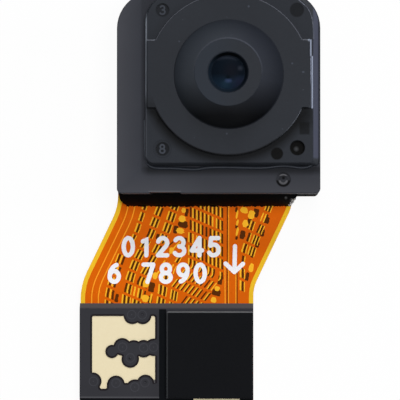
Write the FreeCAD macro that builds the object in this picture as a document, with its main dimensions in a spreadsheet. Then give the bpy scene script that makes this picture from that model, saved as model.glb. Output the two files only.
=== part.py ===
import FreeCAD, Part
import Sketcher
import math
import os
from types import SimpleNamespace

# Fixed-focus camera module lying on its back.
# The origin is where the optical axis meets the back, +Z looks out of the lens and
# the flexible circuit leaves towards -Y. All lengths are in millimetres.

SIZES = {
    # circuit board: two rigid layers with the head of the flexible circuit between them
    "plate_thickness": 0.15,
    "plate_inset": 0.25,
    "rear_layer_thickness": 0.15,
    "flex_thickness": 0.12,
    "front_layer_thickness": 0.13,
    "board_left_ledge": 0.13,
    "board_right_setback": 0.05,
    "board_front_ledge": 0.08,
    "board_back_setback": 0.06,
    "board_round": 1.5,
    "board_small_round": 0.2,
    # outer housing bracket
    "housing_left_strip": 1.18,
    "housing_right_strip": 0.058,
    "housing_front_strip": 1.14,
    "housing_back_strip": 0.07,
    "housing_height": 2.65,
    "housing_wall": 0.3,
    "housing_top_thickness": 0.35,
    "housing_round": 1.55,
    "housing_small_round": 0.2,
    "housing_edge": 0.04,
    "notch_setback": 1.36,
    "notch_width": 1.29,
    "notch_depth": 0.05,
    "dimple_right_setback": 1.546,
    "dimple_front_setback": 0.568,
    "dimple_radius": 0.31,
    "dimple_depth": 0.08,
    "gate_radius": 0.09,
    # lens holder: skirt below, raised block above
    "skirt_wall": 0.4,
    "skirt_clearance": 0.05,
    "skirt_round": 0.6,
    "cavity_round": 0.3,
    "cavity_clearance": 0.24,
    "cavity_height": 0.75,
    "shelf_thickness": 0.4,
    "filter_seat": 0.4,
    "block_height": 0.5,
    "draft_left": 0.055,
    "draft_right": 0.234,
    "draft_front": 0.109,
    "draft_back": 0.04,
    "block_left_margin": 0.365,
    "block_right_margin": 0.408,
    "block_front_margin": 0.571,
    "block_back_margin": 0.32,
    "block_left_round": 1.25,
    "block_right_round": 1.40,
    "block_front_left_round": 0.32,
    "block_front_right_round": 0.14,
    "block_edge": 0.03,
    "mark_radius": 0.28,
    "mark_rim": 0.375,
    "mark_depth": 0.09,
    "mark_rim_depth": 0.03,
    "mark_left_setback": 0.701,
    "mark_back_setback": 0.72,
    "mark_front_setback": 0.594,
    "spot_radius": 0.29,
    "spot_depth": 0.03,
    "spot_setback": 0.684,
    "vent_radius": 0.31,
    "vent_depth": 0.35,
    "vent_right_setback": 0.664,
    "vent_front_setback": 0.631,
    "pin_radius": 0.25,
    "pin_right_setback": 1.515,
    "pin_front_setback": 0.386,
    "patch_right_setback": 0.373,
    "patch_front_setback": 1.433,
    "patch_width": 0.456,
    "patch_length": 0.54,
    # lens barrel: body, winged flange, cone and nose
    "barrel_wall": 0.33,
    "barrel_clearance": 0.02,
    "barrel_lift": 0.2,
    "flange_setback": 0.053,
    "flange_height": 0.25,
    "flange_edge": 0.04,
    "wing_setback": 0.055,
    "wing_up": 1.457,
    "wing_down": 1.392,
    "wing_ledge": 0.06,
    "wing_ledge_up": 0.76,
    "cone_margin": 0.086,
    "nose_wall": 0.289,
    "nose_height": 1.5,
    "nose_edge": 0.04,
    "front_wall": 0.28,
    "aperture_radius": 0.858,
    "throat_radius": 0.70,
    # optical stack, front to rear
    "lens_gap": 0.005,
    "front_lens_radius": 1.12,
    "front_lens_edge": 0.38,
    "front_lens_clear": 0.68,
    "front_lens_dome": 0.15,
    "front_lens_hollow": 0.05,
    "baffle_thickness": 0.03,
    "second_lens_step": 0.1,
    "second_lens_edge": 0.36,
    "second_lens_clear": 0.72,
    "second_lens_hollow": 0.05,
    "second_lens_dome": 0.06,
    "third_lens_step": 0.1,
    "third_lens_edge": 0.36,
    "third_lens_clear": 0.82,
    "third_lens_hollow": 0.06,
    "spacer_thickness": 0.15,
    "spacer_hole": 1.05,
    "fourth_lens_step": 0.3,
    "fourth_lens_edge": 0.5,
    "fourth_lens_clear": 1.1,
    "fourth_lens_hollow": 0.16,
    "fourth_lens_dome": 0.06,
    "rear_lens_step": 0.25,
    "rear_lens_edge": 0.62,
    "rear_lens_clear": 1.45,
    "rear_lens_hollow": 0.2,
    "rear_lens_rise": 0.12,
    "rear_lens_hump": 0.06,
    "rear_lens_hump_radius": 0.87,
    "first_baffle_hole": 0.72,
    "second_baffle_hole": 0.82,
    "third_baffle_hole": 1.2,
    "retaining_thickness": 0.3,
    "retaining_hole": 1.5,
    # filter, sensor and parts on the board
    "filter_side_clearance": 0.25,
    "filter_end_clearance": 0.55,
    "filter_thickness": 0.21,
    "attach_thickness": 0.03,
    "sensor_width": 4.4,
    "sensor_depth": 3.7,
    "sensor_thickness": 0.2,
    "wire_thickness": 0.025,
    "wire_reach": 0.26,
    "wire_rise": 0.09,
    "wire_inset": 0.08,
    "wire_pitch": 0.24,
    "capacitor_length": 0.6,
    "capacitor_width": 0.3,
    "capacitor_height": 0.3,
    "capacitor_pitch": 1.1,
    "capacitor_clearance": 0.5,
    "side_capacitor_count": 5,
    "front_capacitor_count": 2,
    "chip_width": 1.0,
    "chip_depth": 0.7,
    "chip_height": 0.35,
    "chip_aside": 1.9,
    "chip_clearance": 0.55,
    # beads of glue
    "bead_width": 0.1,
    "bead_height": 0.07,
    "bead_edge": 0.028,
    "bead_left_leg": 2.45,
    "sealant_left_reach": 0.03,
    "sealant_right_reach": 0.27,
    "sealant_run": 0.4,
    "sealant_rise": 0.85,
    "sealant_left_round": 0.42,
    "sealant_right_slant": 0.3,
    "sealant_belly_out": 0.1,
    "sealant_belly_up": 0.06,
    # tail of the flexible circuit
    "tail_right_setback": 1.14,
    "first_bend_run": 0.45,
    "slant_left_run": 3.334,
    "slant_left_shift": 1.582,
    "slant_right_run": 3.454,
    "slant_right_shift": 1.644,
    "first_bend_left_round": 2.27,
    "first_bend_right_round": 1.3,
    "second_bend_left_round": 2.65,
    "second_bend_right_round": 1.55,
    "rise_setback": 1.55,
    "rise_run": 1.95,
    "rise_height": 0.3,
    "rise_round": 8.0,
    # connector end
    "end_straight_run": 0.966,
    "end_length": 4.01,
    "end_margin": 0.028,
    "tail_setback": 0.06,
    "end_round": 0.08,
    "stiffener_thickness": 0.15,
    "film_overhang": 0.179,
    "film_ramp": 0.23,
    "film_setback": 0.15,
    "film_thickness": 0.06,
    "film_lip": 0.03,
    "pad_window_inset": 0.536,
    "pad_window_groove_margin": 0.169,
    "pad_window_drop": 0.539,
    "pad_window_length": 2.85,
    "window_tail_inset": 0.332,
    "window_tail_width": 0.298,
    "window_tail_length": 0.248,
    "window_round": 0.07,
    "tab_radius": 0.375,
    "small_tab_radius": 0.285,
    "groove_width": 0.306,
    "groove_gap": 0.029,
    "groove_drop": 0.073,
    "gold_thickness": 0.02,
    "gold_clearance": 0.01,
    "gold_margin": 0.12,
    "strip_length": 1.963,
    "strip_inset": 0.584,
    "strip_width": 0.11,
    "cushion_width": 3.677,
    "cushion_drop": 0.153,
    "cushion_setback": 0.01,
    "cushion_height": 0.4,
    "cushion_edge": 0.07,
    # board-to-board plug under the end
    "plug_length": 5.6,
    "plug_width": 1.9,
    "plug_channel": 0.62,
    "plug_channel_depth": 0.36,
    "contact_count": 12,
    "contact_pitch": 0.35,
    "contact_width": 0.15,
    "contact_thickness": 0.05,
    "contact_reach": 0.25,
    "contact_drop": 0.46,
    "hold_down_width": 1.2,
    "hold_down_foot": 0.2,
}

# Tabs of the cover film that reach into its window: left of the window's right edge, and
# down from its top edge or up from its bottom edge.
TOP_TABS = [(0.97, -0.03), (0.53, -0.03)]
MIDDLE_TABS = [(1.40, 1.31), (1.06, 1.83), (0.91, 1.40), (0.49, 1.39), (0.06, 1.33)]
SMALL_TABS = [(1.84, 1.51)]
BOTTOM_TABS = [(2.66, 0.07), (1.67, -0.06), (0.86, -0.22), (0.41, -0.02)]

# Points of a sketch's geometry and its own axes, as constraints number them.
START, STOP, CENTRE = range(1, 4)
LEVEL_AXIS, UPRIGHT_AXIS = range(-1, -3, -1)
SKETCH_ORIGIN = (LEVEL_AXIS, START)

UP = FreeCAD.Vector(0, 0, 1)

# Sections are swept across this half width, well past the sides of the part.
PLAN_REACH = 12.0
ACROSS = FreeCAD.Vector(2 * PLAN_REACH, 0, 0)
TALL = FreeCAD.Vector(0, 0, PLAN_REACH)
# Cutting shapes run this far past the material.
CUT_PAST = 1.0
# Edges that meet within this length count as one.
SAME = 0.01

doc = FreeCAD.newDocument("camera_module")
sheet = doc.addObject("Spreadsheet::Sheet", "sizes")
for row, (alias, number) in enumerate(SIZES.items(), start=1):
    sheet.set(f"A{row}", alias)
    sheet.set(f"B{row}", str(number))
    sheet.setAlias(f"B{row}", alias)
doc.recompute()


class Size:
    """A length with its number and the formula that gives it from the sheet."""

    def __init__(self, number, text):
        self.number = number
        self.text = text

    def __add__(self, other):
        other = as_size(other)
        return Size(self.number + other.number, f"({self.text} + {other.text})")

    def __sub__(self, other):
        other = as_size(other)
        return Size(self.number - other.number, f"({self.text} - {other.text})")

    def __mul__(self, factor):
        return Size(self.number * factor, f"({self.text} * {factor})")

    def __truediv__(self, factor):
        return Size(self.number / factor, f"({self.text} / {factor})")

    def __neg__(self):
        return Size(-self.number, f"(-{self.text})")


def as_size(value):
    return value if isinstance(value, Size) else Size(float(value), str(value))


mm = SimpleNamespace(**{alias: Size(float(sheet.get(alias)), f"sizes.{alias}") for alias in SIZES})
ZERO = as_size(0)

# Plan of the holder, outwards from the sensor. Sides are measured left, right, front and back
# of the optical axis.
mm.cavity_side = mm.sensor_width + (mm.wire_reach + mm.cavity_clearance) * 2
mm.skirt_side = mm.cavity_side + mm.skirt_wall * 2
mm.filter_width = mm.cavity_side - mm.filter_side_clearance * 2
mm.filter_depth = mm.cavity_side - mm.filter_end_clearance * 2
mm.window_width = mm.filter_width - mm.filter_seat * 2
mm.window_depth = mm.filter_depth - mm.filter_seat * 2
mm.capacitor_aside = mm.skirt_side / 2 + mm.capacitor_clearance + mm.capacitor_width / 2
mm.chip_down = mm.skirt_side / 2 + mm.chip_clearance + mm.chip_depth / 2

# Plan of the block, the barrel's flange, the housing and the board, outwards from the skirt.
mm.block_left = mm.skirt_side / 2 + mm.block_left_margin
mm.block_right = mm.skirt_side / 2 + mm.block_right_margin
mm.block_front = mm.skirt_side / 2 + mm.block_front_margin
mm.block_back = mm.skirt_side / 2 + mm.block_back_margin
mm.flange_radius = mm.block_back - mm.flange_setback
mm.wing_half_width = mm.block_left - mm.wing_setback
mm.foot_left = mm.block_left + mm.draft_left
mm.foot_right = mm.block_right + mm.draft_right
mm.foot_front = mm.block_front + mm.draft_front
mm.foot_back = mm.block_back + mm.draft_back
mm.housing_left = mm.foot_left + mm.housing_left_strip
mm.housing_right = mm.foot_right + mm.housing_right_strip
mm.housing_front = mm.foot_front + mm.housing_front_strip
mm.housing_back = mm.foot_back + mm.housing_back_strip
mm.board_left = mm.housing_left + mm.board_left_ledge
mm.board_right = mm.housing_right - mm.board_right_setback
mm.board_front = mm.housing_front + mm.board_front_ledge
mm.board_back = mm.housing_back - mm.board_back_setback
mm.notch_left = mm.housing_left - mm.notch_setback
mm.dimple_across = mm.housing_right - mm.dimple_right_setback
mm.dimple_down = mm.housing_front - mm.dimple_front_setback

# Radii of the optical stack, each wider than the one in front of it, and of the barrel.
mm.second_lens_radius = mm.front_lens_radius + mm.second_lens_step
mm.third_lens_radius = mm.second_lens_radius + mm.third_lens_step
mm.fourth_lens_radius = mm.third_lens_radius + mm.fourth_lens_step
mm.rear_lens_radius = mm.fourth_lens_radius + mm.rear_lens_step
mm.barrel_radius = mm.rear_lens_radius + mm.barrel_wall
mm.cone_radius = mm.barrel_radius + mm.cone_margin
mm.nose_radius = mm.front_lens_radius + mm.nose_wall

# Marks in the corners of the block, in from its sides.
mm.mark_across = mm.block_left - mm.mark_left_setback
mm.mark_up = mm.block_back - mm.mark_back_setback
mm.mark_down = mm.block_front - mm.mark_front_setback
mm.spot_across = mm.block_right - mm.spot_setback
mm.vent_across = mm.block_right - mm.vent_right_setback
mm.vent_down = mm.block_front - mm.vent_front_setback
mm.pin_across = mm.block_right - mm.pin_right_setback
mm.pin_down = mm.block_front - mm.pin_front_setback
mm.patch_across = mm.block_right - mm.patch_right_setback
mm.patch_down = mm.block_front - mm.patch_front_setback

# Plan of the tail and its end, onwards from the board's front edge.
mm.tail_left = mm.board_left
mm.tail_right = mm.board_right - mm.tail_right_setback
mm.first_bend_down = mm.board_front + mm.first_bend_run
mm.second_bend_left_down = mm.first_bend_down + mm.slant_left_run
mm.second_bend_right_down = mm.first_bend_down + mm.slant_right_run
mm.tail_end_left = mm.tail_left + mm.slant_left_shift
mm.tail_end_right = mm.tail_right - mm.slant_right_shift
mm.rise_start = mm.board_front + mm.rise_setback
mm.sealant_left = mm.housing_left + mm.sealant_left_reach
mm.sealant_right = mm.tail_right + mm.sealant_right_reach
mm.sealant_front = mm.board_front + mm.sealant_run
mm.end_left = mm.tail_end_left + mm.end_margin
mm.stiffener_top = mm.second_bend_left_down + mm.end_straight_run
mm.stiffener_end = mm.stiffener_top + mm.end_length
mm.tail_end = mm.stiffener_end - mm.tail_setback
mm.plug_across = (mm.end_left - mm.tail_end_right) / 2
mm.plug_down = mm.stiffener_top + mm.end_length / 2

# Plan of the cover film, its window and the pieces beside it.
mm.film_top = mm.stiffener_top - mm.film_overhang
mm.film_end = mm.stiffener_end - mm.film_setback
mm.cushion_left = mm.cushion_width - mm.tail_end_right
mm.cushion_top = mm.stiffener_top + mm.cushion_drop
mm.cushion_end = mm.film_end - mm.cushion_setback
mm.groove_right = mm.cushion_left + mm.groove_gap
mm.groove_left = mm.groove_right + mm.groove_width
mm.groove_top = mm.stiffener_top + mm.groove_drop
mm.window_left = mm.end_left - mm.pad_window_inset
mm.window_right = mm.groove_left + mm.pad_window_groove_margin
mm.window_top = mm.film_top + mm.pad_window_drop
mm.window_bottom = mm.window_top + mm.pad_window_length
mm.window_tail_left = mm.window_left - mm.window_tail_inset
mm.window_tail_right = mm.window_tail_left - mm.window_tail_width
mm.window_tail_bottom = mm.window_bottom + mm.window_tail_length
mm.strip_right = mm.tail_end_right - mm.strip_inset
mm.strip_left = mm.strip_length - mm.strip_right

# Levels along the optical axis, counted up from the surface that the module lies on.
rear_layer_z = mm.plate_thickness
flex_z = rear_layer_z + mm.rear_layer_thickness
flex_top_z = flex_z + mm.flex_thickness
board_z = flex_top_z + mm.front_layer_thickness
housing_z = board_z + mm.housing_height
shelf_z = board_z + mm.cavity_height
shelf_top_z = shelf_z + mm.shelf_thickness
block_z = housing_z + mm.block_height
flange_z = block_z + mm.flange_height
nose_z = flange_z + mm.nose_height
barrel_foot_z = shelf_top_z + mm.barrel_lift
end_flex_z = flex_z + mm.rise_height
end_flex_top_z = end_flex_z + mm.flex_thickness
stiffener_z = end_flex_top_z + mm.stiffener_thickness
film_z = stiffener_z + mm.film_thickness

# Front faces of the optical stack, each seated on the one before it.
front_lens_z = nose_z - mm.front_wall
first_baffle_z = front_lens_z - mm.front_lens_edge
second_lens_z = first_baffle_z - mm.baffle_thickness
second_baffle_z = second_lens_z - mm.second_lens_edge
third_lens_z = second_baffle_z - mm.baffle_thickness
spacer_z = third_lens_z - mm.third_lens_edge
fourth_lens_z = spacer_z - mm.spacer_thickness
third_baffle_z = fourth_lens_z - mm.fourth_lens_edge
rear_lens_z = third_baffle_z - mm.baffle_thickness
retaining_z = rear_lens_z - mm.rear_lens_edge


def bind(thing, **formulas):
    """Tie properties of a document object to the sheet."""
    for name, size in formulas.items():
        thing.setExpression(name.replace("__", "."), as_size(size).text)


def new_body(label):
    body = doc.addObject("PartDesign::Body", label)
    body.Label = label
    return body


def new_sketch(body, name, plane="XY_Plane", level=ZERO):
    """A sketch on one of the body's own origin planes, lifted along its normal."""
    sketch = body.newObject("Sketcher::SketchObject", f"{body.Label}_{name}")
    support = next(item for item in body.Origin.OriginFeatures if item.Role == plane)
    sketch.AttachmentSupport = (support, "")
    sketch.MapMode = "FlatFace"
    bind(sketch, AttachmentOffset__Base__z=level)
    return sketch


def add_constraint(sketch, kind, *targets, size=None):
    """Add one constraint, tied to the sheet where it measures something."""
    if size is None:
        sketch.addConstraint(Sketcher.Constraint(kind, *targets))
        return
    index = sketch.addConstraint(Sketcher.Constraint(kind, *targets, size.number))
    sketch.setExpression(f"Constraints[{index}]", size.text)


def hold(sketch, geometry, point, across=None, up=None):
    """Hold a point of a sketch at its distances from the upright and the level axis."""
    for kind, axis, size in (("DistanceX", UPRIGHT_AXIS, across), ("DistanceY", LEVEL_AXIS, up)):
        if size is ZERO:
            add_constraint(sketch, "PointOnObject", geometry, point, axis)
        elif size is not None:
            add_constraint(sketch, kind, *SKETCH_ORIGIN, geometry, point, size=size)


def flat(across, up):
    return FreeCAD.Vector(across, up, 0)


def draw_circle(sketch, across, up, radius):
    index = sketch.addGeometry(Part.Circle(flat(across.number, up.number), UP, radius.number))
    hold(sketch, index, CENTRE, across, up)
    add_constraint(sketch, "Radius", index, size=radius)


def axis_arc(start, stop):
    """Arc between two points with its centre on the upright axis, drawn anticlockwise."""
    centre_up = (stop.x**2 - start.x**2 + stop.y**2 - start.y**2) / (2 * (stop.y - start.y))
    angles = [math.atan2(point.y - centre_up, point.x) for point in (start, stop)]
    ring = Part.Circle(flat(0, centre_up), UP, math.hypot(start.x, start.y - centre_up))
    arc = Part.ArcOfCircle(ring, min(angles), max(angles))
    return arc, (START, STOP) if angles[0] < angles[1] else (STOP, START)


def draw_outline(sketch, corners, domes=()):
    """Closed outline through the corners; a listed side is an arc centred on the axis."""
    sides = []
    for number, corner in enumerate(corners):
        following = corners[(number + 1) % len(corners)]
        start, stop = (flat(across.number, up.number) for across, up in (corner, following))
        if number in domes:
            edge, ends = axis_arc(start, stop)
        else:
            edge, ends = Part.LineSegment(start, stop), (START, STOP)
        sides.append((sketch.addGeometry(edge), *ends))
    for number, (across, up) in enumerate(corners):
        side, start, _ = sides[number]
        before, _, before_stop = sides[number - 1]
        add_constraint(sketch, "Coincident", before, before_stop, side, start)
        hold(sketch, side, start, across, up)
    for number in domes:
        add_constraint(sketch, "PointOnObject", sides[number][0], CENTRE, UPRIGHT_AXIS)


def draw_box(sketch, left, right, front, back):
    draw_outline(sketch, [(left, front), (right, front), (right, back), (left, back)])


def draw_rounded_box(sketch, left, right, front, back, rounds):
    """Rounded rectangle; the radii go front left, front right, back right, back left."""
    front_left, front_right, back_right, back_left = (radius.number for radius in rounds)
    west, east, south, north = (side.number for side in (left, right, front, back))
    sides = [
        (flat(west + front_left, south), flat(east - front_right, south)),
        (flat(east, south + front_right), flat(east, north - back_right)),
        (flat(east - back_right, north), flat(west + back_left, north)),
        (flat(west, north - back_left), flat(west, south + front_left)),
    ]
    turns = [
        (flat(east - front_right, south + front_right), front_right),
        (flat(east - back_right, north - back_right), back_right),
        (flat(west + back_left, north - back_left), back_left),
        (flat(west + front_left, south + front_left), front_left),
    ]
    lines = [sketch.addGeometry(Part.LineSegment(*ends)) for ends in sides]
    arcs = []
    for number, (centre, radius) in enumerate(turns):
        angle = (number - 1) * math.pi / 2
        ring = Part.Circle(centre, UP, radius)
        arcs.append(sketch.addGeometry(Part.ArcOfCircle(ring, angle, angle + math.pi / 2)))
    for number, (line, arc) in enumerate(zip(lines, arcs)):
        add_constraint(sketch, "Tangent", line, STOP, arc, START)
        add_constraint(sketch, "Tangent", arc, STOP, lines[(number + 1) % 4], START)
        add_constraint(sketch, "Vertical" if number % 2 else "Horizontal", line)
        add_constraint(sketch, "Radius", arc, size=rounds[(number + 1) % 4])
    hold(sketch, lines[0], START, up=front)
    hold(sketch, lines[1], START, across=right)
    hold(sketch, lines[2], START, up=back)
    hold(sketch, lines[3], START, across=left)


def pad(body, sketch, height):
    feature = body.newObject("PartDesign::Pad", f"{sketch.Label}_pad")
    feature.Profile = sketch
    bind(feature, Length=height)
    return feature


def pocket(body, sketch, depth, upward=False):
    """Cut down from the sketch, or up where it lies under the material."""
    feature = body.newObject("PartDesign::Pocket", f"{sketch.Label}_pocket")
    feature.Profile = sketch
    feature.Reversed = upward
    bind(feature, Length=depth)
    return feature


def revolve(body, sketch):
    feature = body.newObject("PartDesign::Revolution", f"{sketch.Label}_turned")
    feature.Profile = sketch
    feature.ReferenceAxis = (sketch, ["V_Axis"])
    feature.Angle = 360
    return feature


def dress_edges(body, kind, size, chosen):
    """Fillet or chamfer the edges of the last feature that the test picks out."""
    doc.recompute()
    base = body.Tip
    names = [f"Edge{n}" for n, edge in enumerate(base.Shape.Edges, start=1) if chosen(edge)]
    feature = body.newObject(f"PartDesign::{kind}", f"{body.Label}_{kind.lower()}_{len(body.Group)}")
    feature.Base = (base, names)
    bind(feature, **{"Radius" if kind == "Fillet" else "Size": size})
    return feature


def at_level(edge, level):
    """True where a whole edge lies at one height."""
    box = edge.BoundBox
    return max(abs(box.ZMin - level.number), abs(box.ZMax - level.number)) < SAME


def box_part(label, width, depth, height, across, up, level):
    """Plain block, centred on a place in plan."""
    block = doc.addObject("Part::Box", label)
    block.Label = label
    bind(block, Length=width, Width=depth, Height=height)
    bind(block, Placement__Base__x=across - width / 2, Placement__Base__y=up - depth / 2)
    bind(block, Placement__Base__z=level)
    return block


def rounded_plate(label, left, right, front, back, rounds, level, height):
    body = new_body(label)
    sketch = new_sketch(body, "outline", level=level)
    draw_rounded_box(sketch, left, right, front, back, rounds)
    pad(body, sketch, height)
    return body


def shape_part(label, shape):
    """A piece whose outline is built in code, from sizes read off the sheet."""
    part = doc.addObject("Part::Feature", label)
    part.Label = label
    part.Shape = shape
    part.Placement = FreeCAD.Placement()
    return part


def rounded_wire(corners):
    """Closed wire of straight runs and tangent arcs; each corner is a point and its radius."""
    runs = []
    for number, (corner, radius) in enumerate(corners):
        before = (corners[number - 1][0] - corner).normalize()
        after = (corners[(number + 1) % len(corners)][0] - corner).normalize()
        half_angle = before.getAngle(after) / 2
        reach = radius / math.tan(half_angle)
        inward = (before + after).normalize() if radius else FreeCAD.Vector()
        middle = corner + inward * (radius / math.sin(half_angle) - radius)
        runs.append((corner + before * reach, middle, corner + after * reach, radius))
    edges = []
    for number, (start, middle, stop, radius) in enumerate(runs):
        if radius:
            edges.append(Part.Arc(start, middle, stop).toShape())
        edges.append(Part.makeLine(stop, runs[(number + 1) % len(runs)][0]))
    return Part.Wire(edges)


def prism(corners, travel):
    """Solid swept straight along a vector from a rounded outline."""
    return Part.Face(rounded_wire(corners)).extrude(travel)


def plan(across, up, radius=0):
    """Corner of an outline seen from above."""
    return FreeCAD.Vector(across, up, 0), radius


def side(up, level, radius=0):
    """Corner of a section seen from the side, in the plane across the part."""
    return FreeCAD.Vector(-PLAN_REACH, up, level), radius


def board_outline(sketch, inset=ZERO):
    rounds = (mm.board_small_round, mm.board_small_round, mm.board_round, mm.board_round)
    draw_rounded_box(sketch, inset - mm.board_left, mm.board_right - inset,
                     inset - mm.board_front, mm.board_back - inset, rounds)


def build_board():
    """Steel plate on the back and the two rigid layers round the flexible one."""
    layers = [
        ("rear_plate", ZERO, mm.plate_thickness, mm.plate_inset),
        ("board_rear_layer", rear_layer_z, mm.rear_layer_thickness, ZERO),
        ("board_front_layer", flex_top_z, mm.front_layer_thickness, ZERO),
    ]
    parts = []
    for label, level, height, inset in layers:
        body = new_body(label)
        sketch = new_sketch(body, "outline", level=level)
        board_outline(sketch, inset)
        pad(body, sketch, height)
        parts.append(body)
    return parts


def build_flex():
    """Polyimide film: the head between the rigid layers and the slanted tail."""
    head_left = -mm.board_left.number
    head_right = mm.board_right.number
    head_front = -mm.board_front.number
    head_back = mm.board_back.number
    head_round = mm.board_round.number
    end = -mm.tail_end.number
    outline = [
        plan(head_left, head_back, head_round),
        plan(head_right, head_back, head_round),
        plan(head_right, head_front, mm.board_small_round.number),
        plan(mm.tail_right.number, head_front),
        plan(mm.tail_right.number, -mm.first_bend_down.number, mm.first_bend_right_round.number),
        plan(mm.tail_end_right.number, -mm.second_bend_right_down.number,
             mm.second_bend_right_round.number),
        plan(mm.tail_end_right.number, end),
        plan(-mm.tail_end_left.number, end),
        plan(-mm.tail_end_left.number, -mm.second_bend_left_down.number,
             mm.second_bend_left_round.number),
        plan(-mm.tail_left.number, -mm.first_bend_down.number, mm.first_bend_left_round.number),
    ]
    rise_start = -mm.rise_start.number
    rise_end = rise_start - mm.rise_run.number
    bend = mm.rise_round.number
    low, high = flex_z.number, end_flex_z.number
    thickness = mm.flex_thickness.number
    section = [
        side(head_back, low),
        side(rise_start, low, bend),
        side(rise_end, high, bend),
        side(end, high),
        side(end, high + thickness),
        side(rise_end, high + thickness, bend),
        side(rise_start, low + thickness, bend),
        side(head_back, low + thickness),
    ]
    film = prism(section, ACROSS).common(prism(outline, TALL))
    return [shape_part("flex_circuit", film)]


def build_bracket():
    """Outer moulding: thin walls, a stepped front plate and the opening for the holder."""
    body = new_body("housing_bracket")
    outer = new_sketch(body, "outline", level=board_z)
    rounds = (mm.housing_small_round, mm.housing_small_round, mm.housing_round, mm.housing_round)
    draw_rounded_box(outer, -mm.housing_left, mm.housing_right, -mm.housing_front,
                     mm.housing_back, rounds)
    pad(body, outer, mm.housing_height)
    hollow = new_sketch(body, "hollow", level=board_z)
    wall = mm.housing_wall
    inner_round = mm.housing_round - wall
    draw_rounded_box(hollow, wall - mm.housing_left, mm.housing_right - wall,
                     wall - mm.housing_front, mm.housing_back - wall,
                     (mm.housing_small_round, mm.housing_small_round, inner_round, inner_round))
    pocket(body, hollow, mm.housing_height - mm.housing_top_thickness, upward=True)
    opening = new_sketch(body, "opening", level=housing_z)
    reach = mm.skirt_side / 2 + mm.skirt_clearance
    opening_round = mm.skirt_round + mm.skirt_clearance
    draw_rounded_box(opening, -reach, reach, -reach, reach, (opening_round,) * 4)
    pocket(body, opening, mm.housing_top_thickness)
    notch = new_sketch(body, "notch", level=housing_z)
    draw_box(notch, -mm.notch_left, mm.notch_width - mm.notch_left,
             -mm.housing_front - mm.notch_depth, mm.notch_depth - mm.housing_front)
    pocket(body, notch, mm.housing_height)
    dress_edges(body, "Chamfer", mm.housing_edge, lambda edge: at_level(edge, housing_z)
                and max(abs(edge.CenterOfMass.x), abs(edge.CenterOfMass.y)) > reach.number + SAME
                and not notch_edge(edge))
    dimple = new_sketch(body, "dimple", level=housing_z)
    draw_circle(dimple, mm.dimple_across, -mm.dimple_down, mm.dimple_radius)
    draw_circle(dimple, mm.dimple_across, -mm.dimple_down, mm.gate_radius)
    pocket(body, dimple, mm.dimple_depth)
    return [body]


def notch_edge(edge):
    """True for the short edges round the notch in the front wall."""
    middle = edge.CenterOfMass
    left = -mm.notch_left.number
    beside = left - SAME < middle.x < left + mm.notch_width.number + SAME
    return beside and middle.y < 0


def build_holder():
    """Lens holder: skirt on the board, drafted block in front, bore, filter shelf and window."""
    body = new_body("lens_holder")
    skirt = new_sketch(body, "skirt", level=board_z)
    half = mm.skirt_side / 2
    draw_rounded_box(skirt, -half, half, -half, half, (mm.skirt_round,) * 4)
    pad(body, skirt, mm.housing_height)
    foot = new_sketch(body, "foot", level=housing_z)
    rounds = (mm.block_front_left_round, mm.block_front_right_round,
              mm.block_right_round, mm.block_left_round)
    draw_rounded_box(foot, -mm.foot_left, mm.foot_right, -mm.foot_front, mm.foot_back, rounds)
    edge = mm.block_edge
    shoulder = new_sketch(body, "shoulder", level=block_z - edge)
    draw_rounded_box(shoulder, -mm.block_left, mm.block_right, -mm.block_front, mm.block_back,
                     rounds)
    face = new_sketch(body, "face", level=block_z)
    draw_rounded_box(face, edge - mm.block_left, mm.block_right - edge, edge - mm.block_front,
                     mm.block_back - edge, tuple(radius - edge for radius in rounds))
    block = body.newObject("PartDesign::AdditiveLoft", "lens_holder_block")
    block.Profile = foot
    block.Sections = [shoulder, face]
    block.Ruled = True
    cavity = new_sketch(body, "cavity", level=board_z)
    half = mm.cavity_side / 2
    draw_rounded_box(cavity, -half, half, -half, half, (mm.cavity_round,) * 4)
    pocket(body, cavity, mm.cavity_height, upward=True)
    window = new_sketch(body, "window", level=shelf_top_z)
    half_width, half_depth = mm.window_width / 2, mm.window_depth / 2
    draw_box(window, -half_width, half_width, -half_depth, half_depth)
    pocket(body, window, mm.shelf_thickness)
    bore = new_sketch(body, "bore", level=block_z)
    draw_circle(bore, ZERO, ZERO, mm.barrel_radius + mm.barrel_clearance)
    pocket(body, bore, block_z - shelf_top_z)
    sink_marks(body)
    return [body]


def sink_marks(body):
    """Mould marks, pin marks, the vent hole and the shallow patch in the block's corners."""
    marks = new_sketch(body, "marks", level=block_z)
    draw_circle(marks, -mm.mark_across, mm.mark_up, mm.mark_radius)
    draw_circle(marks, -mm.mark_across, -mm.mark_down, mm.mark_radius)
    pocket(body, marks, mm.mark_depth)
    rim = new_sketch(body, "rim", level=block_z)
    draw_circle(rim, -mm.mark_across, -mm.mark_down, mm.mark_rim)
    pocket(body, rim, mm.mark_rim_depth)
    spots = new_sketch(body, "spots", level=block_z)
    draw_circle(spots, mm.spot_across, mm.mark_up, mm.spot_radius)
    draw_circle(spots, mm.pin_across, -mm.pin_down, mm.pin_radius)
    pocket(body, spots, mm.spot_depth)
    vent = new_sketch(body, "vent", level=block_z)
    draw_circle(vent, mm.vent_across, -mm.vent_down, mm.vent_radius)
    pocket(body, vent, mm.vent_depth)
    patch = new_sketch(body, "patch", level=block_z)
    half_width, half_length = mm.patch_width / 2, mm.patch_length / 2
    draw_box(patch, mm.patch_across - half_width, mm.patch_across + half_width,
             -mm.patch_down - half_length, half_length - mm.patch_down)
    pocket(body, patch, mm.spot_depth)


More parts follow.
